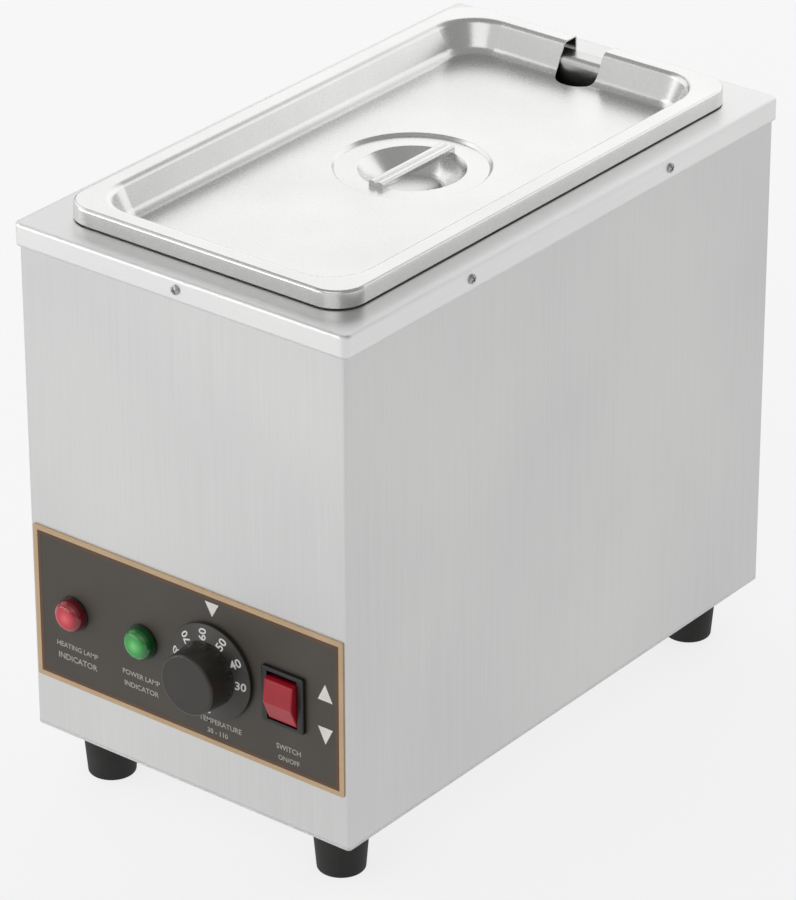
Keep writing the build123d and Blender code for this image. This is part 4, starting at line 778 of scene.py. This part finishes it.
@dataclass
class PilotLamps:
    """Red and green pilot lamps with their holders.

    Attributes:
        lenses: each lens's node, its material's name, and the colours of its painted highlight at the middle,
            its body and its painted shade at the rim.
    """

    lenses: tuple[tuple[str, str, str, str, str], ...] = (
        # The first colour of each lens is a painted highlight and the last a painted shade at the rim.
        ("red_lamp_lens", "dyed acrylic, red, painted highlight and rim shade", "#f2626a", "#d4223a", "#6e0916"),
        ("green_lamp_lens", "dyed acrylic, green, painted highlight and rim shade", "#7fd884", "#2cae46", "#0a561f"))

    def build(self) -> None:
        """Dresses the lenses about their own axes, and the holders and nuts."""
        for node, name, middle, body, rim in self.lenses:
            low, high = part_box(node)
            centre = ((low[0] + high[0]) / 2, (low[2] + high[2]) / 2)
            dress(LensFinish(name, middle, body, rim, centre).material(), node)
        dress(BLACK_PLASTIC.material(), "lamp_holders")
        dress(PLATED_STEEL.material(), "lamp_nuts")


@dataclass
class TemperatureKnob:
    """Skirted knob with its numbers, and the thermostat behind it.

    Attributes:
        numbers: what the skirt says, anticlockwise.
        first_deg: where the first number stands, clockwise from the top.
        step_deg: angle from each number to the next, clockwise.
        number_radius_mm: radius of the numbers' middles.
        number_height_mm: height of the digits.
        number_bold_mm: how far their strokes are thickened on either side.
        full_size_digits: digits that fit between grip and edge at that height; longer numbers are smaller.
        skirt_radius_mm: radius of the skirt's edge.
        grip_radius_mm: radius of the grip's foot.
        edge_rise_mm: height of the skirt's edge over its back.
        skirt_rise_mm: height of the skirt at the grip's foot.
    """

    numbers: tuple[str, ...] = ("30", "40", "50", "60", "70", "80", "90", "100", "110")
    first_deg: float = 93.0
    step_deg: float = -33.75
    number_radius_mm: float = 21.3
    number_height_mm: float = 4.6
    number_bold_mm: float = 0.12
    full_size_digits: int = 2
    skirt_radius_mm: float = 26.5
    grip_radius_mm: float = 18.0
    edge_rise_mm: float = 1.8
    skirt_rise_mm: float = 4.0

    def build(self) -> None:
        """Dresses the knob and the thermostat, and prints the numbers."""
        dress(KNOB_PLASTIC.material(), "temperature_knob")
        dress(PLATED_STEEL.material(), "thermostat_shaft", "thermostat_bracket", "thermostat_screws",
              "bulb_pocket")
        dress(BROWN_PHENOLIC.material(), "thermostat_body")
        dress(DRAWN_COPPER.material(), "thermostat_capillary")
        self.dial()

    def dial(self) -> None:
        """White numbers that read outwards along the skirt's cone."""
        low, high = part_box("temperature_knob")
        x, z = (low[0] + high[0]) / 2, (low[2] + high[2]) / 2
        back = high[1]
        run = self.skirt_radius_mm - self.grip_radius_mm
        fall = self.skirt_rise_mm - self.edge_rise_mm
        slope = math.atan2(fall, run)
        rise = self.skirt_rise_mm - fall * (self.number_radius_mm - self.grip_radius_mm) / run
        shape = bmesh.new()
        for count, words in enumerate(self.numbers):
            angle = math.radians(90.0 - self.first_deg - self.step_deg * count)
            place = (facing_front(x, z, back, angle)
                     @ Matrix.Translation((mm(self.number_radius_mm), 0, mm(rise)))
                     @ Matrix.Rotation(slope, 4, "Y"))
            height_mm = self.number_height_mm * min(1.0, self.full_size_digits / len(words))
            lettering(shape, words, height_mm, place, self.number_bold_mm)
        piece = finished("dial_numbers", shape, WHITE_INK.material(), "knob")


@dataclass
class RockerSwitch:
    """Red rocker in its black housing."""

    def build(self) -> None:
        """Dresses the rocker, the housing and the blades."""
        dress(ROCKER_PLASTIC.material(), "switch_rocker")
        dress(BLACK_PLASTIC.material(), "switch_housing")
        dress(PLATED_STEEL.material(), "switch_blades")


@dataclass
class Heater:
    """Element, spreader plate, clamps and cut-out under the tank."""

    def build(self) -> None:
        """Dresses the heater's parts."""
        dress(SPREADER_ALUMINIUM.material(), "heat_plate")
        dress(ELEMENT_SHEATH.material(), "heating_element")
        dress(PLATED_STEEL.material(), "element_clamp_bars", "element_clamp_studs", "element_clamp_nuts",
              "cutout_strap", "cutout_studs")
        dress(BROWN_PHENOLIC.material(), "safety_cutout")


@dataclass
class MainsEntry:
    """Cable gland, terminal block and earth stud at the back."""

    def build(self) -> None:
        """Dresses the mains parts."""
        dress(BLACK_PLASTIC.material(), "cable_gland", "gland_cap", "gland_locknut")
        dress(FOOT_RUBBER.material(), "gland_seal")
        dress(GLAZED_CERAMIC.material(), "terminal_block")
        dress(PLATED_STEEL.material(), "terminal_screws", "earth_stud", "earth_nuts")


@dataclass
class Lamp:
    """One soft box of the studio.

    Attributes:
        name: its name.
        place: where it stands.
        aim: where it points.
        size: its width and height.
        watts: its power.
    """

    name: str
    place: tuple[float, float, float]
    aim: tuple[float, float, float]
    size: tuple[float, float]
    watts: float

    def build(self) -> None:
        """Makes the area lamp."""
        data = bpy.data.lights.new(self.name, "AREA")
        data.shape = "RECTANGLE"
        data.size, data.size_y = self.size
        data.energy = self.watts
        lamp = linked(self.name, data)
        lamp.location = self.place
        lamp.rotation_euler = (Vector(self.aim) - Vector(self.place)).to_track_quat("-Z", "Y").to_euler()
        LOG.info("lamp %s, %.0f W", self.name, self.watts)


@dataclass
class Studio:
    """Pale floor, soft boxes and the camera.

    Attributes:
        half_floor: half the floor's side.
        floor_lift: share of plain white that the camera and reflections see over the lit floor.
        world_grey: level of the room's plain light.
        lamps: the soft boxes.
        camera_place: the camera's place.
        camera_turn: its angles about X, Y and Z, in degrees.
        lens_mm: its focal length.
    """

    half_floor: float = 6.0
    floor_lift: float = 0.78
    world_grey: float = 0.35
    lamps: tuple[Lamp, ...] = (
        Lamp("soft_box_back", (-0.1, 2.9, 1.6), (0.0, 0.0, 0.3), (6.6, 2.4), 46.0),
        Lamp("soft_box_left", (-2.4, -0.2, 1.6), (-0.1, -0.1, 0.1), (3.0, 2.0), 16.0),
        Lamp("soft_box_left_front", (-1.7, -2.0, 1.7), (0.0, 0.0, 0.2), (3.0, 2.0), 7.0),
        Lamp("soft_box_front", (0.9, -2.6, 2.2), (0.0, 0.0, 0.2), (2.8, 2.4), 17.0),
        Lamp("strip_box_low", (-1.8, -2.2, 0.3), (0.0, -0.2, 0.2), (2.4, 0.5), 16.0),
    )
    camera_place: tuple[float, float, float] = (1.44587591, -1.84016432, 1.37229647)
    camera_turn: tuple[float, float, float] = (62.47824166, 0.12212678, 38.18931332)
    lens_mm: float = 199.189

    def build(self) -> None:
        """Makes the floor, the light and the camera."""
        self.floor()
        self.room_light()
        for lamp in self.lamps:
            lamp.build()
        self.camera()

    def floor(self) -> None:
        """Pale floor that the feet stand on."""
        shape = bmesh.new()
        bmesh.ops.create_grid(shape, x_segments=1, y_segments=1, size=self.half_floor)
        mesh = bpy.data.meshes.new("studio_floor")
        shape.to_mesh(mesh)
        shape.free()
        mesh.materials.append(self.floor_material())
        floor = linked("studio_floor", mesh)

    def floor_material(self) -> bpy.types.Material:
        """Matte paper that the camera and reflections see paler than it lights the object.

        Returns:
            The floor's material.
        """
        material = STUDIO_FLOOR.material()
        tree = material.node_tree
        end = next(node for node in tree.nodes if node.type == "OUTPUT_MATERIAL")
        lit = end.inputs["Surface"].links[0].from_socket
        path = add(tree, "LightPath")
        seen = path.outputs["Is Camera Ray"]
        for ray in ("Is Glossy Ray", "Is Transmission Ray"):
            seen = add(tree, "Math", {"operation": "MAXIMUM"}, {0: seen, 1: path.outputs[ray]}).outputs[0]
        share = add(tree, "Math", {"operation": "MULTIPLY", 1: self.floor_lift}, {0: seen})
        white = add(tree, "Emission", {"Color": WHITE, "Strength": 1.0})
        both = add(tree, "MixShader", links={0: share.outputs[0], 1: lit, 2: white.outputs[0]})
        tree.links.new(both.outputs[0], end.inputs["Surface"])
        return material

    def room_light(self) -> None:
        """Plain even light from the room."""
        world = bpy.data.worlds.new("studio_room")
        tree = emptied(world)
        sky = add(tree, "Background", {"Color": WHITE, "Strength": self.world_grey})
        add(tree, "OutputWorld", links={"Surface": sky.outputs[0]})
        bpy.context.scene.world = world

    def camera(self) -> None:
        """Camera at the photograph's angle, from a fit of the casing's corners."""
        data = bpy.data.cameras.new("studio_camera")
        data.sensor_width = SENSOR_MM
        data.lens = self.lens_mm
        data.clip_start, data.clip_end = CLIP_NEAR, CLIP_FAR
        camera = linked("studio_camera", data)
        camera.location = self.camera_place
        camera.rotation_euler = Euler([math.radians(turn) for turn in self.camera_turn], "XYZ")
        bpy.context.scene.camera = camera


class Section(Protocol):
    """What main builds: a group of pieces, or the studio."""

    def build(self) -> None:
        """Dresses the CAD nodes of the group and makes its own pieces."""


def main() -> None:
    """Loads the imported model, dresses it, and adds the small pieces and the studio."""
    logging.basicConfig(level=logging.INFO, format="%(message)s")
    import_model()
    sections: tuple[Section, ...] = (
        Casing(), Feet(), PanAndLid(), ControlPanel(), PilotLamps(), TemperatureKnob(), RockerSwitch(),
        Heater(), MainsEntry(), Studio())
    for section in sections:
        section.build()
    bpy.context.scene.view_settings.view_transform = "Standard"


if __name__ == "__main__":
    main()
